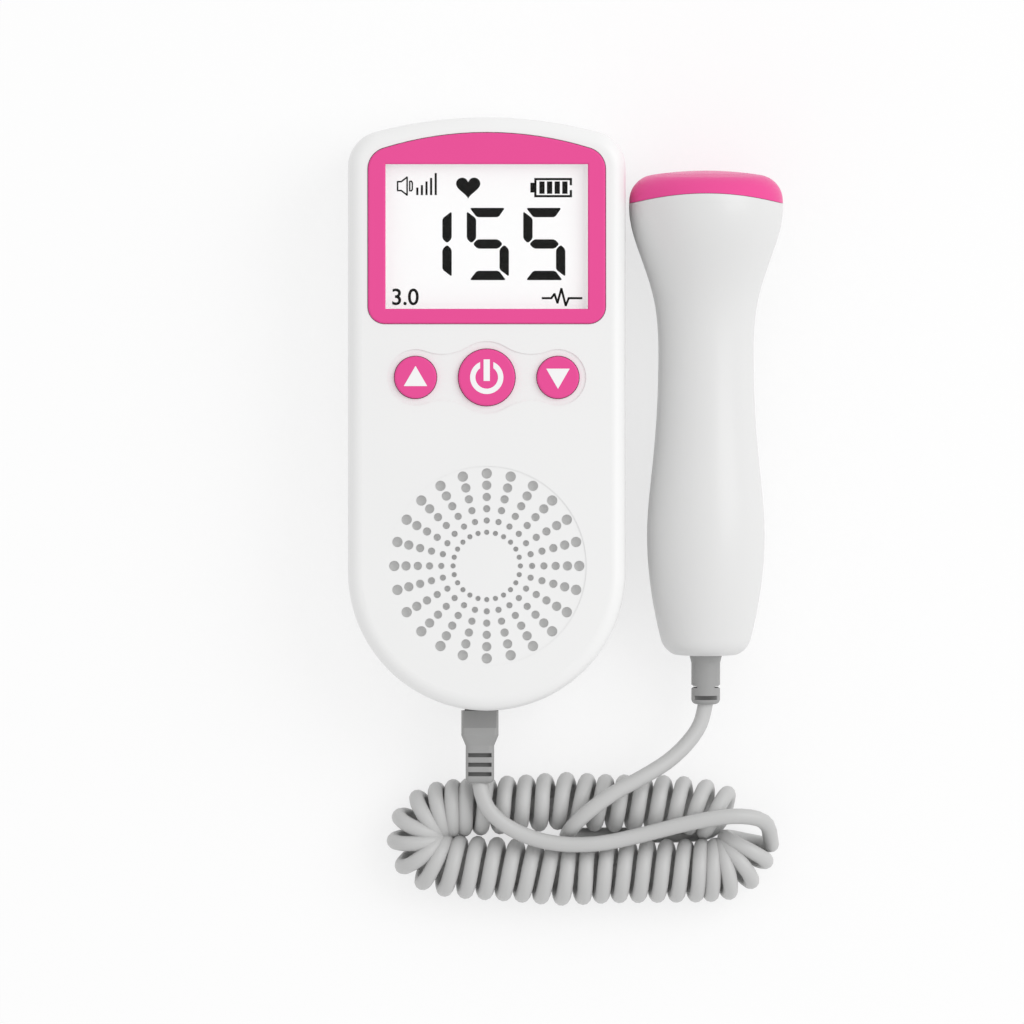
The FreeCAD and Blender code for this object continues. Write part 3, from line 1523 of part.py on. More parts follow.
lens_front = overlap(form, rod("lens_radius", "2 * cap_front_wall", "0", "-cap_front_wall", "0", "Y"))
lens_flange = rod(
    "lens_flange_radius", "lens_flange_thickness", "0", "-cap_front_wall - lens_flange_thickness", "0", "Y"
)
name(lay(join(lens_front, lens_flange)), "acoustic_lens")

crystals = cut(
    rod("crystal_radius", "crystal_thickness", "0", f"-({CRYSTAL_REAR})", "0", "Y"),
    block(
        "crystal_gap",
        "8 * crystal_thickness",
        "4 * crystal_radius",
        "0",
        f"-({CRYSTAL_REAR})",
        "-2 * crystal_radius",
    ),
)
name(lay(crystals), "transducer_crystals")
backing = rod(f"{SPIGOT_BORE} - slip", "backing_thickness", "0", f"-({BACKING_REAR})", "0", "Y")
name(lay(group(backing)), "crystal_backing")

probe_board = block(
    "probe_board_width",
    "probe_board_length",
    "probe_board_thickness",
    "0",
    "-probe_board_station",
    "-probe_board_thickness / 2",
)
name(lay(group(probe_board)), "probe_board")

CLAMP_REAR = "probe_length - probe_wall - probe_boot_flange_thickness"
BOARD_FRONT = "probe_board_station - probe_board_length / 2"
BOARD_REAR = "probe_board_station + probe_board_length / 2"


def core_wire(x, near, far):
    return rod("wire_core_radius", f"{far} - ({near})", x, f"-({far})", "0", "Y")


core_wires = group(
    core_wire("-wire_core_front_x", BACKING_REAR, BOARD_FRONT),
    core_wire("wire_core_front_x", BACKING_REAR, BOARD_FRONT),
    core_wire("-wire_core_rear_x", BOARD_REAR, f"{CLAMP_REAR} - clamp_length"),
    core_wire("wire_core_rear_x", BOARD_REAR, f"{CLAMP_REAR} - clamp_length"),
)
name(lay(core_wires), "probe_wires")
clamp = rod("clamp_radius", "clamp_length", "0", f"-({CLAMP_REAR})", "0", "Y")
name(lay(group(clamp)), "cord_clamp")

probe_screws = [
    screw(
        "screw_radius",
        "screw_head_radius",
        "screw_head_height",
        "screw_floor + probe_screw_bite",
        "0",
        f"-({y})",
        PROBE_SEAT,
    )
    for y in PROBE_BOSSES
]
name(lay(group(*probe_screws)), "probe_screws")

BOOT_TIP = "probe_length + probe_boot_length"
NOTCH = "probe_length + probe_boot_notch_station"
GROOVE = "probe_length + probe_boot_groove_station"
strain_relief = body("probe_boot_moulding")
section = sketch(strain_relief)
polygon(
    section,
    [
        ("0", f"-({CLAMP_REAR})"),
        ("probe_boot_flange", f"-({CLAMP_REAR})"),
        ("probe_boot_flange", "-(probe_length - probe_wall)"),
        ("probe_boot_flare", "-(probe_length - probe_wall)"),
        ("probe_boot_flare", "-probe_length"),
        ("probe_boot_radius", "-(probe_length + probe_boot_flare_length)"),
        ("probe_boot_radius", f"-({BOOT_TIP})"),
        ("0", f"-({BOOT_TIP})"),
    ],
)
revolve(strain_relief, section)
boot_tip = -size(BOOT_TIP)
round_edges(strain_relief, "probe_boot_round", lambda edge: abs(edge.BoundBox.YMax - boot_tip) < TOUCH)
relief_cuts = []
for edge_x, groove_bottom in (
    ("probe_boot_radius", "probe_boot_radius - probe_boot_groove_depth"),
    ("-probe_boot_radius", "-probe_boot_radius"),
):
    relief_cuts += [
        rod("probe_boot_notch_radius", "2 * probe_boot_flare", edge_x, f"-({NOTCH})", "-probe_boot_flare"),
        block(
            "2 * probe_boot_slit_depth",
            "probe_boot_slit_width",
            "2 * probe_boot_flare",
            edge_x,
            f"-({NOTCH})",
            "-probe_boot_flare",
        ),
        block(
            "2 * probe_boot_radius",
            "probe_boot_groove_width",
            "probe_boot_groove_depth",
            "0",
            f"-({GROOVE})",
            groove_bottom,
        ),
    ]
name(lay(cut(strain_relief, *relief_cuts)), "probe_boot")


# ---- Lead --------------------------------------------------------------------------------------------------


def tube(route, radius, label):
    """A round cord along a route: straight runs joined by tangent arcs, as large as the runs allow."""
    points = [vector(*point) for point in route]
    edges, here, radii = [], points[0], []
    for before, corner, after in zip(points, points[1:], points[2:]):
        back_way, on_way = before - corner, after - corner
        reach = BEND_SHARE * min(back_way.Length, on_way.Length)
        turn = math.pi - back_way.getAngle(on_way)
        radii.append(reach / math.tan(turn / 2))
        start = corner + vector(back_way).normalize() * reach
        finish = corner + vector(on_way).normalize() * reach
        bisector = (vector(back_way).normalize() + vector(on_way).normalize()).normalize()
        middle = corner + bisector * radii[-1] * (1 / math.cos(turn / 2) - 1)
        edges.append(Part.LineSegment(here, start).toShape())
        edges.append(Part.Arc(start, middle, finish).toShape())
        here = finish
    edges.append(Part.LineSegment(here, points[-1]).toShape())
    path = Part.Wire(edges)
    ring = Part.Wire([Part.Circle(points[0], points[1] - points[0], radius).toShape()])
    solid = path.makePipeShell([ring], True, False)
    expected = math.pi * radius**2 * path.Length
    print(f"{label}: length {path.Length:.1f}, volume {solid.Volume / expected:.4f} of section times length")
    print(f"{label}: bend radii " + ", ".join(f"{bend:.1f}" for bend in radii))
    cord = doc.addObject("Part::Feature", label)
    cord.Shape = solid
    cord.Placement = FreeCAD.Placement()
    return name(cord, label)


tube(UNIT_TAIL_ROUTE, size("wire_radius"), "lead_unit_tail")
tube(CURL_ROUTE, size("curl_radius"), "lead_curl")
tube(PROBE_TAIL_ROUTE, size("wire_radius"), "lead_probe_tail")


# ---- Check and write ---------------------------------------------------------------------------------------

doc.recompute()
for thing in doc.Objects:
    assert not {"Invalid", "Error"} & set(thing.State), f"{thing.Label} failed: {thing.State}"
for piece in pieces:
    sound = not piece.Shape.isNull() and piece.Shape.isValid() and piece.Shape.Solids
    assert sound, f"{piece.Label} has no shape"
os.makedirs("parts", exist_ok=True)
for piece in pieces:
    piece.Shape.exportStep(f"parts/{piece.Label}.step")
print(f"{len(pieces)} pieces written")
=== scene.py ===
import math

import bmesh
import bpy
from mathutils import Matrix, Vector


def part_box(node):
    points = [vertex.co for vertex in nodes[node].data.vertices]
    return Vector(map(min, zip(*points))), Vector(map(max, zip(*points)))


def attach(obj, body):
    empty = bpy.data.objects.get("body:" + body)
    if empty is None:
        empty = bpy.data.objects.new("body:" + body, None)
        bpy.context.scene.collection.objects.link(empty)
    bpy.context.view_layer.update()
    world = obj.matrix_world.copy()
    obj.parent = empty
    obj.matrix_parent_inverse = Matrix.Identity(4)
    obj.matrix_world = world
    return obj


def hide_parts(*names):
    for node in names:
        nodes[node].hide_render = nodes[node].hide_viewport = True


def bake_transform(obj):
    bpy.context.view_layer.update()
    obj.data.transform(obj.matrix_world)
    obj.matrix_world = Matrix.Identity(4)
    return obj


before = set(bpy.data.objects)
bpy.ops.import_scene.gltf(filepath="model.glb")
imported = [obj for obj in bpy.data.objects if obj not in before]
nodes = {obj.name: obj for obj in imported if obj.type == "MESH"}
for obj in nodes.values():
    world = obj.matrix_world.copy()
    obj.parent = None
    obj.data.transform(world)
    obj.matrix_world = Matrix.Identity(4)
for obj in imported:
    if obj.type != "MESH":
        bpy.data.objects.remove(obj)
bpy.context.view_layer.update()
MM = 0.001


# Camera. A long lens looks straight down on the unit and its probe, which lie on their backs. The middle of
# its view lies a little below the middle of the case, so that the coiled lead is in it too.
CAMERA_LENS = 500.0
CAMERA_SENSOR = 36.0
VIEW_WIDTH = 236.2 * MM
VIEW_MIDDLE = (5.82 * MM, -22.58 * MM)
FACE_HEIGHT = 25 * MM
CAMERA_REACH = 20.0

camera_data = bpy.data.cameras.new("camera")
camera_data.lens = CAMERA_LENS
camera_data.sensor_width = CAMERA_SENSOR
camera_data.clip_end = CAMERA_REACH
camera = bpy.data.objects.new("camera", camera_data)
camera.location = (*VIEW_MIDDLE, FACE_HEIGHT + VIEW_WIDTH * CAMERA_LENS / CAMERA_SENSOR)
bpy.context.scene.collection.objects.link(camera)
bpy.context.scene.camera = camera


# Table top. A plain matt white sheet that everything lies on. It shows as white to the camera and in
# reflections, and keeps a trace of the shadow under each piece.


class Wire:
    """The output of a shader node. Arithmetic on it adds Math nodes, so a formula reads as one line."""

    def __init__(self, finish, socket):
        self.finish = finish
        self.socket = socket

    def maths(self, operation, first, second=0.0):
        return self.finish.node("ShaderNodeMath", {"operation": operation}, {0: first, 1: second})

    def __add__(self, other):
        return self.maths("ADD", self, other)

    def __radd__(self, other):
        return self.maths("ADD", other, self)

    def __sub__(self, other):
        return self.maths("SUBTRACT", self, other)

    def __rsub__(self, other):
        return self.maths("SUBTRACT", other, self)

    def __mul__(self, other):
        return self.maths("MULTIPLY", self, other)

    def __rmul__(self, other):
        return self.maths("MULTIPLY", other, self)


class Finish:
    """One material while it is being built: its nodes and its surface shader."""

    def __init__(self, name, **fixed):
        self.material = bpy.data.materials.new(name)
        self.material.use_nodes = True
        self.tree = self.material.node_tree
        self.shader = self.tree.nodes["Principled BSDF"]
        for socket, value in fixed.items():
            self.set(socket.replace("_", " "), value)

    def connect(self, socket, value):
        if isinstance(value, Wire):
            self.tree.links.new(value.socket, socket)
        else:
            socket.default_value = value

    def set(self, socket, value):
        self.connect(self.shader.inputs[socket], value)

    def node(self, kind, settings, inputs, output=0):
        made = self.tree.nodes.new(kind)
        for key, value in settings.items():
            setattr(made, key, value)
        for key, value in inputs.items():
            self.connect(made.inputs[key], value)
        return Wire(self, made.outputs[output])

    def place(self):
        """Where a point lies on the piece."""
        return self.node("ShaderNodeTexCoord", {}, {}, "Object")

    def axis(self, letter):
        """One coordinate of the place on the piece, in metres."""
        return self.node("ShaderNodeSeparateXYZ", {}, {0: self.place()}, letter)

    def near(self, value, middle, reach):
        """One where a value lies within reach of its middle, and nought elsewhere."""
        return self.node("ShaderNodeMath", {"operation": "COMPARE"}, {0: value, 1: middle, 2: reach})

    def noise(self, scale, detail=2.0):
        inputs = {"Vector": self.place(), "Scale": scale, "Detail": detail}
        return self.node("ShaderNodeTexNoise", {}, inputs)

    def mix(self, amount, first, second):
        """From the first colour to the second, as the amount goes from nought to one."""
        inputs = {"Factor": amount, "A": first, "B": second}
        return self.node("ShaderNodeMix", {"data_type": "RGBA"}, inputs, "Result")

    def tint(self, amount, dark, light):
        """A colour between dark and light."""
        return self.mix(amount, (*dark, 1.0), (*light, 1.0))

    def relief(self, height, depth, strength):
        """Raises and sinks the surface by the height, at most as deep as the depth."""
        inputs = {"Height": height, "Distance": depth, "Strength": strength}
        self.set("Normal", self.node("ShaderNodeBump", {}, inputs))

    def roughen(self, grain, least, swing):
        """A roughness that a grain shifts upwards from its least."""
        self.set("Roughness", grain * swing + least)

    def grained(self, scale, detail, colours, least, swing):
        """One grain shifts the colour from the first to the second, and the roughness too."""
        grain = self.noise(scale, detail)
        self.set("Base Color", self.tint(grain, *colours))
        self.roughen(grain, least, swing)
        return grain

    def end(self, surface):
        self.tree.links.new(surface.socket, self.tree.nodes["Material Output"].inputs["Surface"])


def paint(finish, *pieces):
    """Gives each named node or piece one finish all over."""
    for piece in pieces:
        mesh = (nodes[piece] if isinstance(piece, str) else piece).data
        mesh.materials.clear()
        mesh.materials.append(finish.material)
        mesh.polygons.foreach_set("material_index", [0] * len(mesh.polygons))


def add_piece(name, mesh, body, finish=None):
    """Puts a finished mesh into the scene as a piece that moves with one body."""
    piece = bpy.data.objects.new(name, mesh)
    bpy.context.scene.collection.objects.link(piece)
    if finish:
        paint(finish, piece)
    if body:
        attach(piece, body)
    return piece


TABLE_SIZE = 6.0
TABLE_WHITE = (0.95, 0.95, 0.95, 1.0)
TABLE_DROP = 0.1 * MM
TABLE_GLOW_SHARE = 0.7

table_mesh = bmesh.new()
bmesh.ops.create_grid(table_mesh, x_segments=1, y_segments=1, size=TABLE_SIZE / 2)
bmesh.ops.translate(table_mesh, verts=table_mesh.verts, vec=(0, 0, -TABLE_DROP))
table_data = bpy.data.meshes.new("table_top")
table_mesh.to_mesh(table_data)
table_mesh.free()
table = add_piece("table_top", table_data, None)
table_finish = Finish("table_white", Base_Color=TABLE_WHITE, Roughness=0.9, Specular_IOR_Level=0.0)
camera_ray = table_finish.node("ShaderNodeLightPath", {}, {}, "Is Camera Ray")
mirror_ray = table_finish.node("ShaderNodeLightPath", {}, {}, "Is Glossy Ray")
clear_ray = table_finish.node("ShaderNodeLightPath", {}, {}, "Is Transmission Ray")
glow = table_finish.node("ShaderNodeEmission", {}, {"Color": (1.0, 1.0, 1.0, 1.0), "Strength": 1.0})
seen = mirror_ray.maths("MAXIMUM", mirror_ray, clear_ray)
seen = seen.maths("MAXIMUM", seen, camera_ray)
matt = Wire(table_finish, table_finish.shader.outputs["BSDF"])
table_look = table_finish.node("ShaderNodeMixShader", {}, {0: seen * TABLE_GLOW_SHARE, 1: matt, 2: glow})
table_finish.end(table_look)
paint(table_finish, table)


# Lead. One grey PVC cord from the plug to the probe. Its middle is wound into a springy coil, which lies on
# the table in a long closed loop, and both tails cross over the loop.
WIRE_RADIUS = 1.8 * MM
TURNS_REACHED = [(0.0, 0.0), (0.1, 4.9), (0.475, 18.45), (0.625, 25.9), (1.0, 39.25)]
POINTS_PER_TURN = 14
CURL_STEPS = 16
CORD_STEPS = 4
CORD_ROUNDNESS = 4
REAR_ROW = -90.2 * MM
REAR_REACH = 6.9 * MM
REACH_GROWTH = 0.045
TABLE_GAP = 0.05 * MM
UNIT_TAIL_ROUTE = [
    (-1.6, -85.4, 15.2),
    (-1.2, -90.0, 16.6),
    (4.4, -95.6, 15.8),
    (13.6, -99.3, 15.9),
    (25.0, -99.7, 15.9),
    (36.0, -97.3, 15.4),
    (46.5, -94.5, 16.0),
    (57.0, -92.6, 16.6),
    (65.0, -93.7, 13.6),
    (65.9, -99.3, 7.3),
]
CURL_ROUTE = [
    (60.8, -98.2),
    (59.7, -102.2),
    (56.6, -105.0),
    (52.4, -105.7),
    (38.0, -105.8),
    (26.0, -105.9),
    (18.0, -106.6),
    (10.0, -105.9),
    (4.0, -105.4),
    (-7.9, -104.8),
    (-12.3, -103.8),
    (-15.4, -101.7),
    (-16.4, -98.1),
    (-15.4, -94.5),
    (-12.3, -92.2),
    (-7.9, -91.2),
    (4.0, -90.5),
    (11.0, -90.1),
    (18.0, -89.4),
    (26.0, -90.1),
    (36.0, -90.2),
    (44.0, -90.4),
    (50.5, -91.1),
    (55.0, -93.0),
]
PROBE_TAIL_ROUTE = [
    (55.0, -93.2, 1.9),
    (52.2, -97.0, 1.9),
    (46.0, -97.6, 1.9),
    (36.0, -97.65, 1.9),
    (25.4, -97.6, 1.9),
    (19.2, -97.7, 4.4),
    (18.2, -97.6, 11.2),
    (21.4, -93.4, 17.0),
    (28.8, -87.7, 17.6),
    (36.4, -83.8, 16.4),
    (43.6, -79.3, 14.0),
    (49.2, -72.9, 11.7),
    (50.5, -67.95, 11.3),
]
INSIDE_BOOT = (50.66, -66.6, 11.5)


def cord_curve(name, points, steps, thickness=0.0, roundness=0):
    """A smooth cord through control points; with no thickness, it is only the line."""
    curve = bpy.data.curves.new(name, "CURVE")
    curve.dimensions = "3D"
    curve.resolution_u = steps
    curve.bevel_depth = thickness
    curve.bevel_resolution = roundness
    curve.use_fill_caps = thickness > 0
    spline = curve.splines.new("NURBS")
    spline.points.add(len(points) - 1)
    for point, where in zip(spline.points, points):
        point.co = (*where, 1.0)
    spline.order_u = 3
    spline.use_endpoint_u = True
    return bpy.data.objects.new(name, curve)


def line_points(points, steps):
    """Points along the smooth line that the control points give."""
    line = cord_curve("line", points, steps)
    bpy.context.scene.collection.objects.link(line)
    ready = line.evaluated_get(bpy.context.evaluated_depsgraph_get())
    mesh = bpy.data.meshes.new_from_object(ready)
    found = [vertex.co.copy() for vertex in mesh.vertices]
    bpy.data.objects.remove(line)
    bpy.data.meshes.remove(mesh)
    return found


def along(line, share):
    """The place and the direction at a share of a line's length."""
    lengths = [0.0]
    for before, after in zip(line, line[1:]):
        lengths.append(lengths[-1] + (after - before).length)
    want = share * lengths[-1]
    step = max(1, next((i for i, reached in enumerate(lengths) if reached >= want), len(line) - 1))
    run = line[step] - line[step - 1]
    part = (want - lengths[step - 1]) / run.length
    ahead = line[min(step + 1, len(line) - 1)] - line[max(step - 2, 0)]
    return line[step - 1] + run * part, ahead.normalized()


def share_reached(turns):
    """How far along the coil a number of turns reaches; they lie closer together round both its ends."""
    for (share, before), (next_share, after) in zip(TURNS_REACHED, TURNS_REACHED[1:]):
        if turns <= after:
            return share + (next_share - share) * (turns - before) / (after - before)
    return 1.0


curl_line = line_points([Vector((*point, 0)) * MM for point in CURL_ROUTE], CURL_STEPS)
coil_turns = TURNS_REACHED[-1][1]
coil_steps = int(coil_turns * POINTS_PER_TURN)
coil = []
for step in range(coil_steps + 1):
    turns = coil_turns * step / coil_steps
    middle, heading = along(curl_line, share_reached(turns))
    reach = REAR_REACH + (REAR_ROW - middle.y) * REACH_GROWTH
    middle.z = reach + TABLE_GAP
    outward = Vector((0, 0, 1)).cross(heading).normalized()
    angle = -2 * math.pi * turns
    spoke = math.cos(angle) * outward + math.sin(angle) * Vector((0, 0, 1))
    coil.append(middle + (reach - WIRE_RADIUS) * spoke)
lead_points = [Vector(point) * MM for point in UNIT_TAIL_ROUTE] + coil
lead_points += [Vector(point) * MM for point in [*PROBE_TAIL_ROUTE, INSIDE_BOOT]]
lead_line = line_points(lead_points, CORD_STEPS)

lead_curve = cord_curve("lead_curve", lead_points, CORD_STEPS, WIRE_RADIUS, CORD_ROUNDNESS)
bpy.context.scene.collection.objects.link(lead_curve)
lead_mesh = bpy.data.meshes.new_from_object(
    lead_curve.evaluated_get(bpy.context.evaluated_depsgraph_get())
)
bpy.data.objects.remove(lead_curve)
lead_mesh.shade_smooth()

CORD_GREYS = (0.51, 0.51, 0.506), (0.57, 0.57, 0.566)

cord_finish = Finish("grey_cord")
cord_grain = cord_finish.noise(scale=900.0, detail=3.0)
cord_shade = cord_finish.noise(scale=60.0)
cord_finish.set("Base Color", cord_finish.tint(cord_shade, *CORD_GREYS))
cord_finish.roughen(cord_grain, least=0.36, swing=0.15)
cord_finish.relief(cord_grain, depth=0.04 * MM, strength=0.5)
lead = add_piece("lead_cord", lead_mesh, None, cord_finish)
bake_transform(lead)
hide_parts("lead_unit_tail", "lead_curl", "lead_probe_tail")


# Plug. A grey moulded collar and boot round a flat tongue, which is pushed into the end of the case. Two
# darker grip pads are let into the collar, and the four contacts lie in the tongue. The slots that let this
# boot and the probe's bend are painted dark inside: painted shade in the grooves.
PLUG_GREYS = (0.32, 0.32, 0.318), (0.36, 0.36, 0.357)
PAINTED_SLOT_SHADE = (0.17, 0.17, 0.168)
PLUG_SLOT_SHADE_MIDDLE = (-1.6 * MM, -81.0 * MM, 15.2 * MM)
PLUG_SLOT_SHADE_REACH = (2.71 * MM, 2.8 * MM, 2.6 * MM)
PROBE_AXIS_X = 50.68 * MM
PROBE_TILT = 0.0547
PROBE_AXIS_Z = 15.14 * MM
PROBE_BOOT_SKIN = 3.15 * MM
PROBE_SLOT_SHADE_Y = -64.05 * MM
PROBE_SLOT_SHADE_REACH = 2.05 * MM

plug_finish = Finish("plug_grey_slot_shade")
plug_grain = plug_finish.noise(scale=700.0, detail=3.0)
plug_shade = plug_finish.noise(scale=90.0)
plug_x, plug_y, plug_z = (plug_finish.axis(letter) for letter in "XYZ")
# Painted shade: one box round the plug boot's slots, and a band of the probe boot's skin round its slots.
plug_slot_shade = 1.0
for value, middle, reach in zip((plug_x, plug_y, plug_z), PLUG_SLOT_SHADE_MIDDLE, PLUG_SLOT_SHADE_REACH):
    plug_slot_shade = plug_finish.near(value, middle, reach) * plug_slot_shade
aside = plug_x - PROBE_AXIS_X
above = plug_z - plug_y * PROBE_TILT - PROBE_AXIS_Z
outward_reach = aside * aside + above * above
below_skin = outward_reach.maths("LESS_THAN", outward_reach, PROBE_BOOT_SKIN**2)
probe_slot_shade = below_skin * plug_finish.near(plug_y, PROBE_SLOT_SHADE_Y, PROBE_SLOT_SHADE_REACH)
plug_colour = plug_finish.tint(plug_shade, *PLUG_GREYS)
# Inside these masks the plug's grey gives way to the painted slot shade.
plug_finish.set("Base Color", plug_finish.mix(plug_slot_shade + probe_slot_shade, plug_colour, (*PAINTED_SLOT_SHADE, 1.0)))
plug_finish.roughen(plug_grain, least=0.4, swing=0.2)
plug_finish.relief(plug_grain, depth=0.05 * MM, strength=0.6)
paint(plug_finish, "plug_collar", "plug_boot", "plug_tongue", "probe_boot")

GRIP_GREYS = (0.26, 0.26, 0.258), (0.29, 0.29, 0.287)

grip_finish = Finish("grip_grey")
grip_shade = grip_finish.noise(scale=120.0)
grip_grain = grip_finish.noise(scale=800.0, detail=3.0)
grip_pits = grip_finish.noise(scale=1400.0, detail=1.0)
grip_finish.set("Base Color", grip_finish.tint(grip_shade, *GRIP_GREYS))
grip_finish.roughen(grip_grain, least=0.5, swing=0.2)
grip_finish.relief(grip_pits, depth=0.06 * MM, strength=0.8)
paint(grip_finish, "plug_grips")

BRASSES = (0.70, 0.47, 0.18), (0.85, 0.66, 0.32)

contact_finish = Finish("contact_brass", Metallic=1.0)
contact_finish.grained(scale=500.0, detail=4.0, colours=BRASSES, least=0.2, swing=0.25)
paint(contact_finish, "plug_contacts", "socket_contacts", "probe_wires")


# Case and probe shells. White ABS, moulded with a fine satin grain and screwed together from behind. The
# probe's two half shells take a greyer copy of the case white: painted shade on the same plastic. A thin
# grey line runs round the upper half of each, just above the joint, where the two edges don't quite meet.
CASE_WHITES = (0.84, 0.84, 0.838), (0.87, 0.87, 0.867)
# Painted shade: the probe's whites are the case's white made darker.
PROBE_SHADED_WHITES = (0.72, 0.72, 0.718), (0.75, 0.75, 0.747)
CASE_JOINT_Z = 15.2 * MM
JOINT_LINE_ABOVE = 0.2 * MM
JOINT_LINE_REACH = 0.18 * MM
JOINT_GREY = (0.30, 0.30, 0.298)
SATIN_LEAST = 0.32
SATIN_FLOW_SWING = 0.08
SATIN_GRAIN_SWING = 0.1

for shell_name, whites, joint_tilt, joint_height, shells in (
    ("case_white", CASE_WHITES, 0.0, CASE_JOINT_Z, ("front_shell", "back_shell", "battery_door")),
    ("probe_shaded_white", PROBE_SHADED_WHITES, PROBE_TILT, PROBE_AXIS_Z, ("probe_upper_shell", "probe_lower_shell")),
):
    shell_finish = Finish(shell_name, Coat_Weight=0.15, Coat_Roughness=0.2)
    shell_grain = shell_finish.noise(scale=1600.0, detail=2.0)
    shell_flow = shell_finish.noise(scale=25.0, detail=3.0)
    shell_white = shell_finish.tint(shell_flow, *whites)
    over_joint = shell_finish.axis("Z") - shell_finish.axis("Y") * joint_tilt - joint_height
    off_line = over_joint.maths("ABSOLUTE", over_joint - JOINT_LINE_ABOVE)
    joint_line = off_line.maths("MAXIMUM", 1.0 - off_line * (1.0 / JOINT_LINE_REACH), 0.0)
    shell_finish.set("Base Color", shell_finish.mix(joint_line, shell_white, (*JOINT_GREY, 1.0)))
    satin = shell_flow * SATIN_FLOW_SWING + shell_grain * SATIN_GRAIN_SWING + SATIN_LEAST
    shell_finish.set("Roughness", satin)
    shell_finish.relief(shell_grain, depth=0.02 * MM, strength=0.35)
    paint(shell_finish, *shells)


# Cells. Two AA cells in a printed sleeve with a bare band at one end, held between wound springs and flat
# plated contacts. The screws, the display's pins and the loudspeaker's pressed basket are bright steel too.
SLEEVE_AND_BAND = (0.05, 0.11, 0.28), (0.55, 0.57, 0.60)
CELL_BAND_FROM = 42 * MM
CELL_BAND_METAL = 0.9

cell_finish = Finish("cell_sleeve", Coat_Weight=0.4)
cell_along = cell_finish.axis("Y")
cell_band = cell_along.maths("GREATER_THAN", cell_along, CELL_BAND_FROM)
cell_finish.set("Base Color", cell_finish.tint(cell_band, *SLEEVE_AND_BAND))
cell_finish.set("Metallic", cell_band * CELL_BAND_METAL)
cell_finish.roughen(cell_finish.noise(scale=200.0), least=0.25, swing=0.15)
paint(cell_finish, "battery_left", "battery_right")

STEELS = (0.50, 0.50, 0.51), (0.66, 0.66, 0.67)

steel_finish = Finish("bright_steel", Metallic=1.0)
steel_finish.grained(scale=600.0, detail=5.0, colours=STEELS, least=0.18, swing=0.25)
paint(
    steel_finish,
    "battery_springs",
    "battery_contacts",
    "case_screws",
    "board_screws",
    "probe_screws",
    "display_pins",
    "speaker_basket",
)


# Circuit boards. Two green lacquered boards of glass fibre, with black chips and switch bodies soldered on
# them. The plungers of the buttons, the plug's socket, the cord clamp and the crystals' backing are moulded
# in black too.
BOARD_GREENS = (0.012, 0.10, 0.035), (0.02, 0.16, 0.06)
CHIP_BLACKS = (0.012, 0.012, 0.013), (0.03, 0.03, 0.031)

board_finish = Finish("board_lacquer", Coat_Weight=0.6)
board_finish.grained(scale=400.0, detail=2.0, colours=BOARD_GREENS, least=0.25, swing=0.2)
paint(board_finish, "main_board", "probe_board")

chip_finish = Finish("chip_black")
chip_finish.grained(scale=900.0, detail=3.0, colours=CHIP_BLACKS, least=0.4, swing=0.3)
paint(
    chip_finish,
    "board_chips",
    "tact_switches",
    "power_plunger",
    "volume_up_plunger",
    "volume_down_plunger",
    "probe_socket",
    "cord_clamp",
    "crystal_backing",
)


# Display. A lit liquid-crystal panel of glass over a clear light guide, held on the main board in a frame of
# white plastic. The thin window over it is clear plastic, let into the bezel.
PANEL_GLOW = 0.38
PANEL_WHITES = (0.90, 0.90, 0.90), (0.93, 0.93, 0.93)
PANEL_LIGHTS = (0.96, 0.97, 0.97), (1.0, 1.0, 1.0)
FRAME_WHITES = (0.72, 0.72, 0.71), (0.80, 0.80, 0.79)
WINDOW_TINT = (0.02, 0.02, 0.02, 1.0)

panel_finish = Finish("display_glass", Coat_Weight=0.3, Emission_Strength=PANEL_GLOW)
panel_tone = panel_finish.grained(scale=40.0, detail=1.0, colours=PANEL_WHITES, least=0.3, swing=0.05)
panel_finish.set("Emission Color", panel_finish.tint(panel_tone, *PANEL_LIGHTS))
paint(panel_finish, "lcd_panel", "lcd_backlight")

frame_finish = Finish("white_frame")
frame_finish.grained(scale=300.0, detail=2.0, colours=FRAME_WHITES, least=0.4, swing=0.2)
paint(frame_finish, "lcd_frame")

window_finish = Finish("clear_window", Roughness=0.04, Alpha=0.08, Base_Color=WINDOW_TINT)
paint(window_finish, "display_window")


# Reading. The dark segments that the display shows: a number in seven-bar digits, a heart, a cell gauge, a
# loudspeaker with its level bars, a small plain number, and a pulse trace. Sizes here are in millimetres.
INK_SKIN = 0.03
INK_CORNER = 0.32
DIGIT_WIDTH = 9.7
DIGIT_HEIGHT = 16.65
DIGIT_STROKE = 2.15
DIGIT_GAP = 0.16
DIGIT_FOOT = 30.86
DIGIT_HUNDREDS_X = -17.78
DIGIT_TENS_X = -4.6
DIGIT_UNITS_X = 8.41
UPRIGHT_OUTER_CUT = 0.8
UPRIGHT_INNER_CUT = 0.3
LEVEL_BAR_CUT = 0.5
TOP_BAR_OUTER_CUT = 0.9
TOP_BAR_INNER_CUT = 0.25
glass_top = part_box("lcd_panel")[1].z
reading = bmesh.new()


def ink(outline, corner=0.0):
    """A thin dark shape on the glass, from its outline, with every corner cut back a little when a corner is
    given.
    """
    points = [Vector(point) for point in outline]
    if corner:
        cut = []
        for before, here, after in zip(points[-1:] + points[:-1], points, points[1:] + points[:1]):
            cut.append(here + (before - here).normalized() * corner)
            cut.append(here + (after - here).normalized() * corner)
        points = cut
    low = [reading.verts.new((x * MM, y * MM, glass_top)) for x, y in points]
    raised = bmesh.ops.extrude_face_region(reading, geom=[reading.faces.new(low)])
    moved = [part for part in raised["geom"] if isinstance(part, bmesh.types.BMVert)]
    bmesh.ops.translate(reading, verts=moved, vec=(0, 0, INK_SKIN * MM))


def bar(left, bottom, right, top):
    """An upright rectangle of ink."""
    ink([(left, bottom), (right, bottom), (right, top), (left, top)])


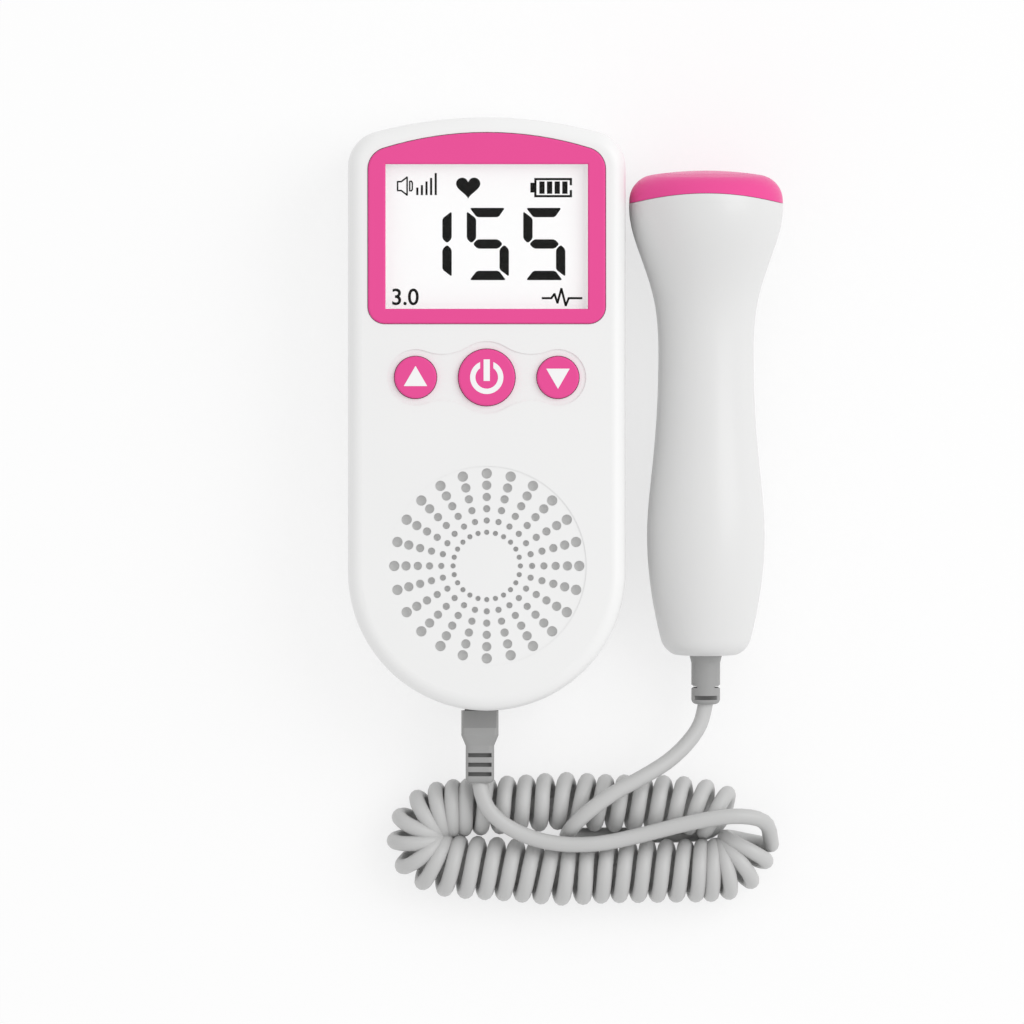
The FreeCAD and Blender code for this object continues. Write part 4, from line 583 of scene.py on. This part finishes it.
def stroke(points, width):
    """A line of even width along points, one straight piece for each run, a little longer than the run."""
    for start, end in zip(points, points[1:]):
        run = Vector(end) - Vector(start)
        side = Vector((-run.y, run.x)).normalized() * width / 2
        reach = run.normalized() * width / 4
        near, far = Vector(start) - reach, Vector(end) + reach
        ink([near + side, near - side, far - side, far + side])


def digit(x, bars):
    """One number in bars: a top, b upper right, c lower right, d bottom, f upper left, g middle."""
    w, h, s, g = DIGIT_WIDTH, DIGIT_HEIGHT, DIGIT_STROKE, DIGIT_GAP
    half, tip = h / 2, s / 2
    inset = g + LEVEL_BAR_CUT
    upright = [
        (0, h - UPRIGHT_OUTER_CUT),
        (s, h - s - UPRIGHT_INNER_CUT),
        (s, half + tip + g),
        (tip, half + g),
        (0, half + tip + g),
    ]
    shapes = {
        "a": [(inset, h), (w - TOP_BAR_OUTER_CUT, h), (w - s - TOP_BAR_INNER_CUT, h - s), (s + g, h - s)],
        "b": [(w - across, up) for across, up in upright],
        "c": [(w - across, h - up) for across, up in upright],
        "d": [(inset, 0), (w - inset, 0), (w - s - g, s), (s + g, s)],
        "f": upright,
        "g": [
            (tip + 2 * g, half),
            (s + 2 * g, half - tip),
            (w - s - 2 * g, half - tip),
            (w - tip - 2 * g, half),
            (w - s - 2 * g, half + tip),
            (s + 2 * g, half + tip),
        ],
    }
    for bar_name in bars:
        ink([(x + across, DIGIT_FOOT + up) for across, up in shapes[bar_name]], INK_CORNER)


digit(DIGIT_HUNDREDS_X, "bc")
digit(DIGIT_TENS_X, "afgcd")
digit(DIGIT_UNITS_X, "afgcd")

MARK_FOOT = 50.45
LEVEL_LEFT = -16.25
LEVEL_STEP = 1.06
LEVEL_WIDTH = 0.5
LEVEL_HEIGHTS = (1.75, 2.3, 3.15, 3.95, 5.1)
for number, level_height in enumerate(LEVEL_HEIGHTS):
    left = LEVEL_LEFT + number * LEVEL_STEP
    bar(left, MARK_FOOT, left + LEVEL_WIDTH, MARK_FOOT + level_height)

HORN = [(-20.55, 51.5), (-20.55, 53.55), (-19.7, 53.55), (-18.35, 54.6), (-18.35, 50.45), (-19.7, 51.5)]
HORN_LINE = 0.36
WAVE_LINE = 0.9 * HORN_LINE
stroke([*HORN, HORN[0]], HORN_LINE)
WAVE = [(-17.75, 51.45), (-17.75, 53.65), (-17.35, 53.65), (-17.15, 53.3), (-17.15, 51.8), (-17.35, 51.45)]
stroke([*WAVE, WAVE[0]], WAVE_LINE)

HEART_PLACE = Vector((-4.28, 52.45))
HEART_WIDTH = 5.6
HEART_HEIGHT = 4.95
HEART_POINTS = 48
HEART_CURVE_HEIGHT = 29
heart = []
for step in range(HEART_POINTS):
    turn = 2 * math.pi * step / HEART_POINTS
    lobes = 13 * math.cos(turn) - 5 * math.cos(2 * turn) - 2 * math.cos(3 * turn) - math.cos(4 * turn)
    across = math.sin(turn) ** 3 * HEART_WIDTH / 2
    heart.append(HEART_PLACE + Vector((across, lobes / HEART_CURVE_HEIGHT * HEART_HEIGHT)))
ink(heart)

GAUGE_LEFT, GAUGE_RIGHT, GAUGE_FOOT, GAUGE_TOP = 10.95, 19.65, 49.95, 54.4
GAUGE_LINE = 0.52
GAUGE_NUB = 0.9
GAUGE_NUB_INSET = 1.1
GAUGE_MOUTH = 1.15
GAUGE_BARS = 4
GAUGE_BAR = 1.22
GAUGE_BAR_INSET = 0.8
GAUGE_STEP = 1.76
GAUGE_GAP = 0.65
bar(GAUGE_LEFT - GAUGE_NUB, GAUGE_FOOT + GAUGE_NUB_INSET, GAUGE_LEFT, GAUGE_TOP - GAUGE_NUB_INSET)
bar(GAUGE_LEFT, GAUGE_FOOT, GAUGE_LEFT + GAUGE_LINE, GAUGE_TOP)
for foot in (GAUGE_FOOT, GAUGE_TOP - GAUGE_LINE):
    bar(GAUGE_LEFT + GAUGE_LINE, foot, GAUGE_RIGHT - GAUGE_LINE, foot + GAUGE_LINE)
bar(GAUGE_RIGHT - GAUGE_LINE, GAUGE_FOOT, GAUGE_RIGHT, GAUGE_FOOT + GAUGE_LINE + GAUGE_MOUTH)
bar(GAUGE_RIGHT - GAUGE_LINE, GAUGE_TOP - GAUGE_LINE - GAUGE_MOUTH, GAUGE_RIGHT, GAUGE_TOP)
for number in range(GAUGE_BARS):
    left = GAUGE_LEFT + GAUGE_LINE + GAUGE_GAP + number * GAUGE_STEP
    bar(left, GAUGE_FOOT + GAUGE_BAR_INSET, left + GAUGE_BAR, GAUGE_TOP - GAUGE_BAR_INSET)

TRACE = [
    (12.8, 26.7),
    (14.9, 26.7),
    (15.6, 27.7),
    (16.3, 25.6),
    (17.2, 28.9),
    (18.2, 25.0),
    (18.9, 26.7),
    (21.9, 26.7),
]
TRACE_LINE = 0.5
stroke(TRACE, TRACE_LINE)

bmesh.ops.recalc_face_normals(reading, faces=reading.faces)
reading_data = bpy.data.meshes.new("display_reading")
reading.to_mesh(reading_data)
reading.free()

INK_BLACKS = (0.005, 0.005, 0.005), (0.01, 0.01, 0.009)

ink_finish = Finish("liquid_crystal_dark", Specular_IOR_Level=0.1)
ink_finish.grained(scale=300.0, detail=2.0, colours=INK_BLACKS, least=0.6, swing=0.2)
add_piece("display_reading", reading_data, "unit", ink_finish)

SMALL_NUMBER_SIZE = 5.3
SMALL_NUMBER_WEIGHT = 0.07
SMALL_NUMBER_PLACE = Vector((-22.05, 25.2, INK_SKIN / 2))
small_number = bpy.data.curves.new("small_number", "FONT")
small_number.body = "3.0"
small_number.size = SMALL_NUMBER_SIZE * MM
small_number.offset = SMALL_NUMBER_WEIGHT * MM
small_number.extrude = INK_SKIN / 2 * MM
small_number_piece = bpy.data.objects.new("small_number", small_number)
bpy.context.scene.collection.objects.link(small_number_piece)
number_ready = small_number_piece.evaluated_get(bpy.context.evaluated_depsgraph_get())
small_number_data = bpy.data.meshes.new_from_object(number_ready)
bpy.data.objects.remove(small_number_piece)
small_number_data.transform(Matrix.Translation(SMALL_NUMBER_PLACE * MM + Vector((0, 0, glass_top))))
add_piece("display_small_number", small_number_data, "unit", ink_finish)


# Bezel, buttons and the probe's cap. Smooth pink ABS mouldings. The bezel is let into the front of the
# case, the buttons slide in holes below it, and each of them carries an inlaid white mark.
PINKS = (0.79, 0.079, 0.302), (0.82, 0.087, 0.322)
PINK_SHINE = 0.07
MARK_WHITES = (0.88, 0.88, 0.88), (0.92, 0.92, 0.92)

pink_finish = Finish("pink_abs", Coat_Weight=0.03, Coat_Roughness=0.2, Specular_IOR_Level=PINK_SHINE)
pink_flow = pink_finish.noise(scale=35.0, detail=3.0)
pink_grain = pink_finish.noise(scale=1500.0)
pink_finish.set("Base Color", pink_finish.tint(pink_flow, *PINKS))
pink_finish.roughen(pink_grain, least=0.26, swing=0.12)
pink_finish.relief(pink_grain, depth=0.015 * MM, strength=0.3)
paint(pink_finish, "display_bezel", "power_button", "volume_up_button", "volume_down_button", "probe_cap")

mark_finish = Finish("white_mark")
mark_finish.grained(scale=500.0, detail=2.0, colours=MARK_WHITES, least=0.35, swing=0.2)
paint(mark_finish, "power_mark", "volume_up_mark", "volume_down_mark")


# Loudspeaker. A doped paper cone in a steel basket, sealed by foam, with a grey acoustic cloth glued behind
# the holes of the grille. The cloth glows faintly: painted light that lifts it in the shade of the deep
# holes.
THREADS = 2600.0
CLOTH_GREYS = (0.44, 0.44, 0.433), (0.555, 0.555, 0.55)
CLOTH_PAINTED_LIGHTS = (0.8, 0.8, 0.8), (1.0, 1.0, 1.0)
CLOTH_PAINTED_GLOW = 0.2

# Painted light: the cloth's glow strength and glow colour brighten it inside the holes.
cloth_finish = Finish("acoustic_cloth", Emission_Strength=CLOTH_PAINTED_GLOW)
cloth_wave = {"Vector": cloth_finish.place(), "Scale": THREADS}
warp = cloth_finish.node("ShaderNodeTexWave", {"bands_direction": "X"}, cloth_wave, "Fac")
weft = cloth_finish.node("ShaderNodeTexWave", {"bands_direction": "Y"}, cloth_wave, "Fac")
weave = warp * weft
cloth_finish.set("Base Color", cloth_finish.tint(weave, *CLOTH_GREYS))
cloth_finish.set("Emission Color", cloth_finish.tint(weave, *CLOTH_PAINTED_LIGHTS))
cloth_finish.roughen(weave, least=0.85, swing=0.1)
cloth_finish.relief(weave, depth=0.08 * MM, strength=0.6)
paint(cloth_finish, "speaker_cloth")

FOAM_CELLS = 1800.0
FOAM_BLACKS = (0.01, 0.01, 0.01), (0.05, 0.05, 0.05)

foam_finish = Finish("foam_black")
foam_pattern = {"Vector": foam_finish.place(), "Scale": FOAM_CELLS}
foam_cells = foam_finish.node("ShaderNodeTexVoronoi", {}, foam_pattern, "Distance")
foam_finish.set("Base Color", foam_finish.tint(foam_cells, *FOAM_BLACKS))
foam_finish.roughen(foam_cells, least=0.85, swing=0.1)
paint(foam_finish, "speaker_gasket")

CONE_BLACKS = (0.02, 0.02, 0.02), (0.06, 0.058, 0.055)
MAGNET_GREYS = (0.04, 0.04, 0.042), (0.08, 0.08, 0.083)

cone_finish = Finish("cone_paper")
cone_fibre = cone_finish.grained(scale=350.0, detail=6.0, colours=CONE_BLACKS, least=0.7, swing=0.2)
cone_finish.relief(cone_fibre, depth=0.1 * MM, strength=0.6)
paint(cone_finish, "speaker_cone")

magnet_finish = Finish("ferrite_grey")
magnet_finish.grained(scale=800.0, detail=4.0, colours=MAGNET_GREYS, least=0.5, swing=0.3)
paint(magnet_finish, "speaker_magnet")


# Probe face. The lens in the middle of the pink cap is cast resin of the same colour, a little smoother than
# the cap, and it is bonded to the two half discs of the pale ceramic crystal.
CRYSTAL_CREAMS = (0.60, 0.57, 0.50), (0.68, 0.65, 0.58)

lens_finish = Finish("lens_resin", Specular_IOR_Level=PINK_SHINE)
lens_finish.grained(scale=120.0, detail=2.0, colours=PINKS, least=0.2, swing=0.1)
paint(lens_finish, "acoustic_lens")

crystal_finish = Finish("ceramic_crystal")
crystal_finish.grained(scale=900.0, detail=3.0, colours=CRYSTAL_CREAMS, least=0.5, swing=0.2)
paint(crystal_finish, "transducer_crystals")


# Lamps. A large soft square lamp stands at the upper right, turned to the middle of the table, and the even
# white light of the room comes from all round.
ROOM_LIGHT = 0.81
LAMP_POWER = 16.0
LAMP_SIZE = 1.6
LAMP_PLACE = Vector((1.45, 0.6, 1.5))

lamp_data = bpy.data.lights.new("soft_lamp", "AREA")
lamp_data.energy = LAMP_POWER
lamp_data.size = LAMP_SIZE
lamp = bpy.data.objects.new("soft_lamp", lamp_data)
lamp.location = LAMP_PLACE
lamp.rotation_euler = (-LAMP_PLACE).to_track_quat("-Z", "Y").to_euler()
bpy.context.scene.collection.objects.link(lamp)

room = bpy.data.worlds.new("room")
room.use_nodes = True
room_back = room.node_tree.nodes["Background"]
room_back.inputs["Color"].default_value = (1.0, 1.0, 1.0, 1.0)
room_back.inputs["Strength"].default_value = ROOM_LIGHT
bpy.context.scene.world = room
bpy.context.scene.view_settings.view_transform = "Standard"
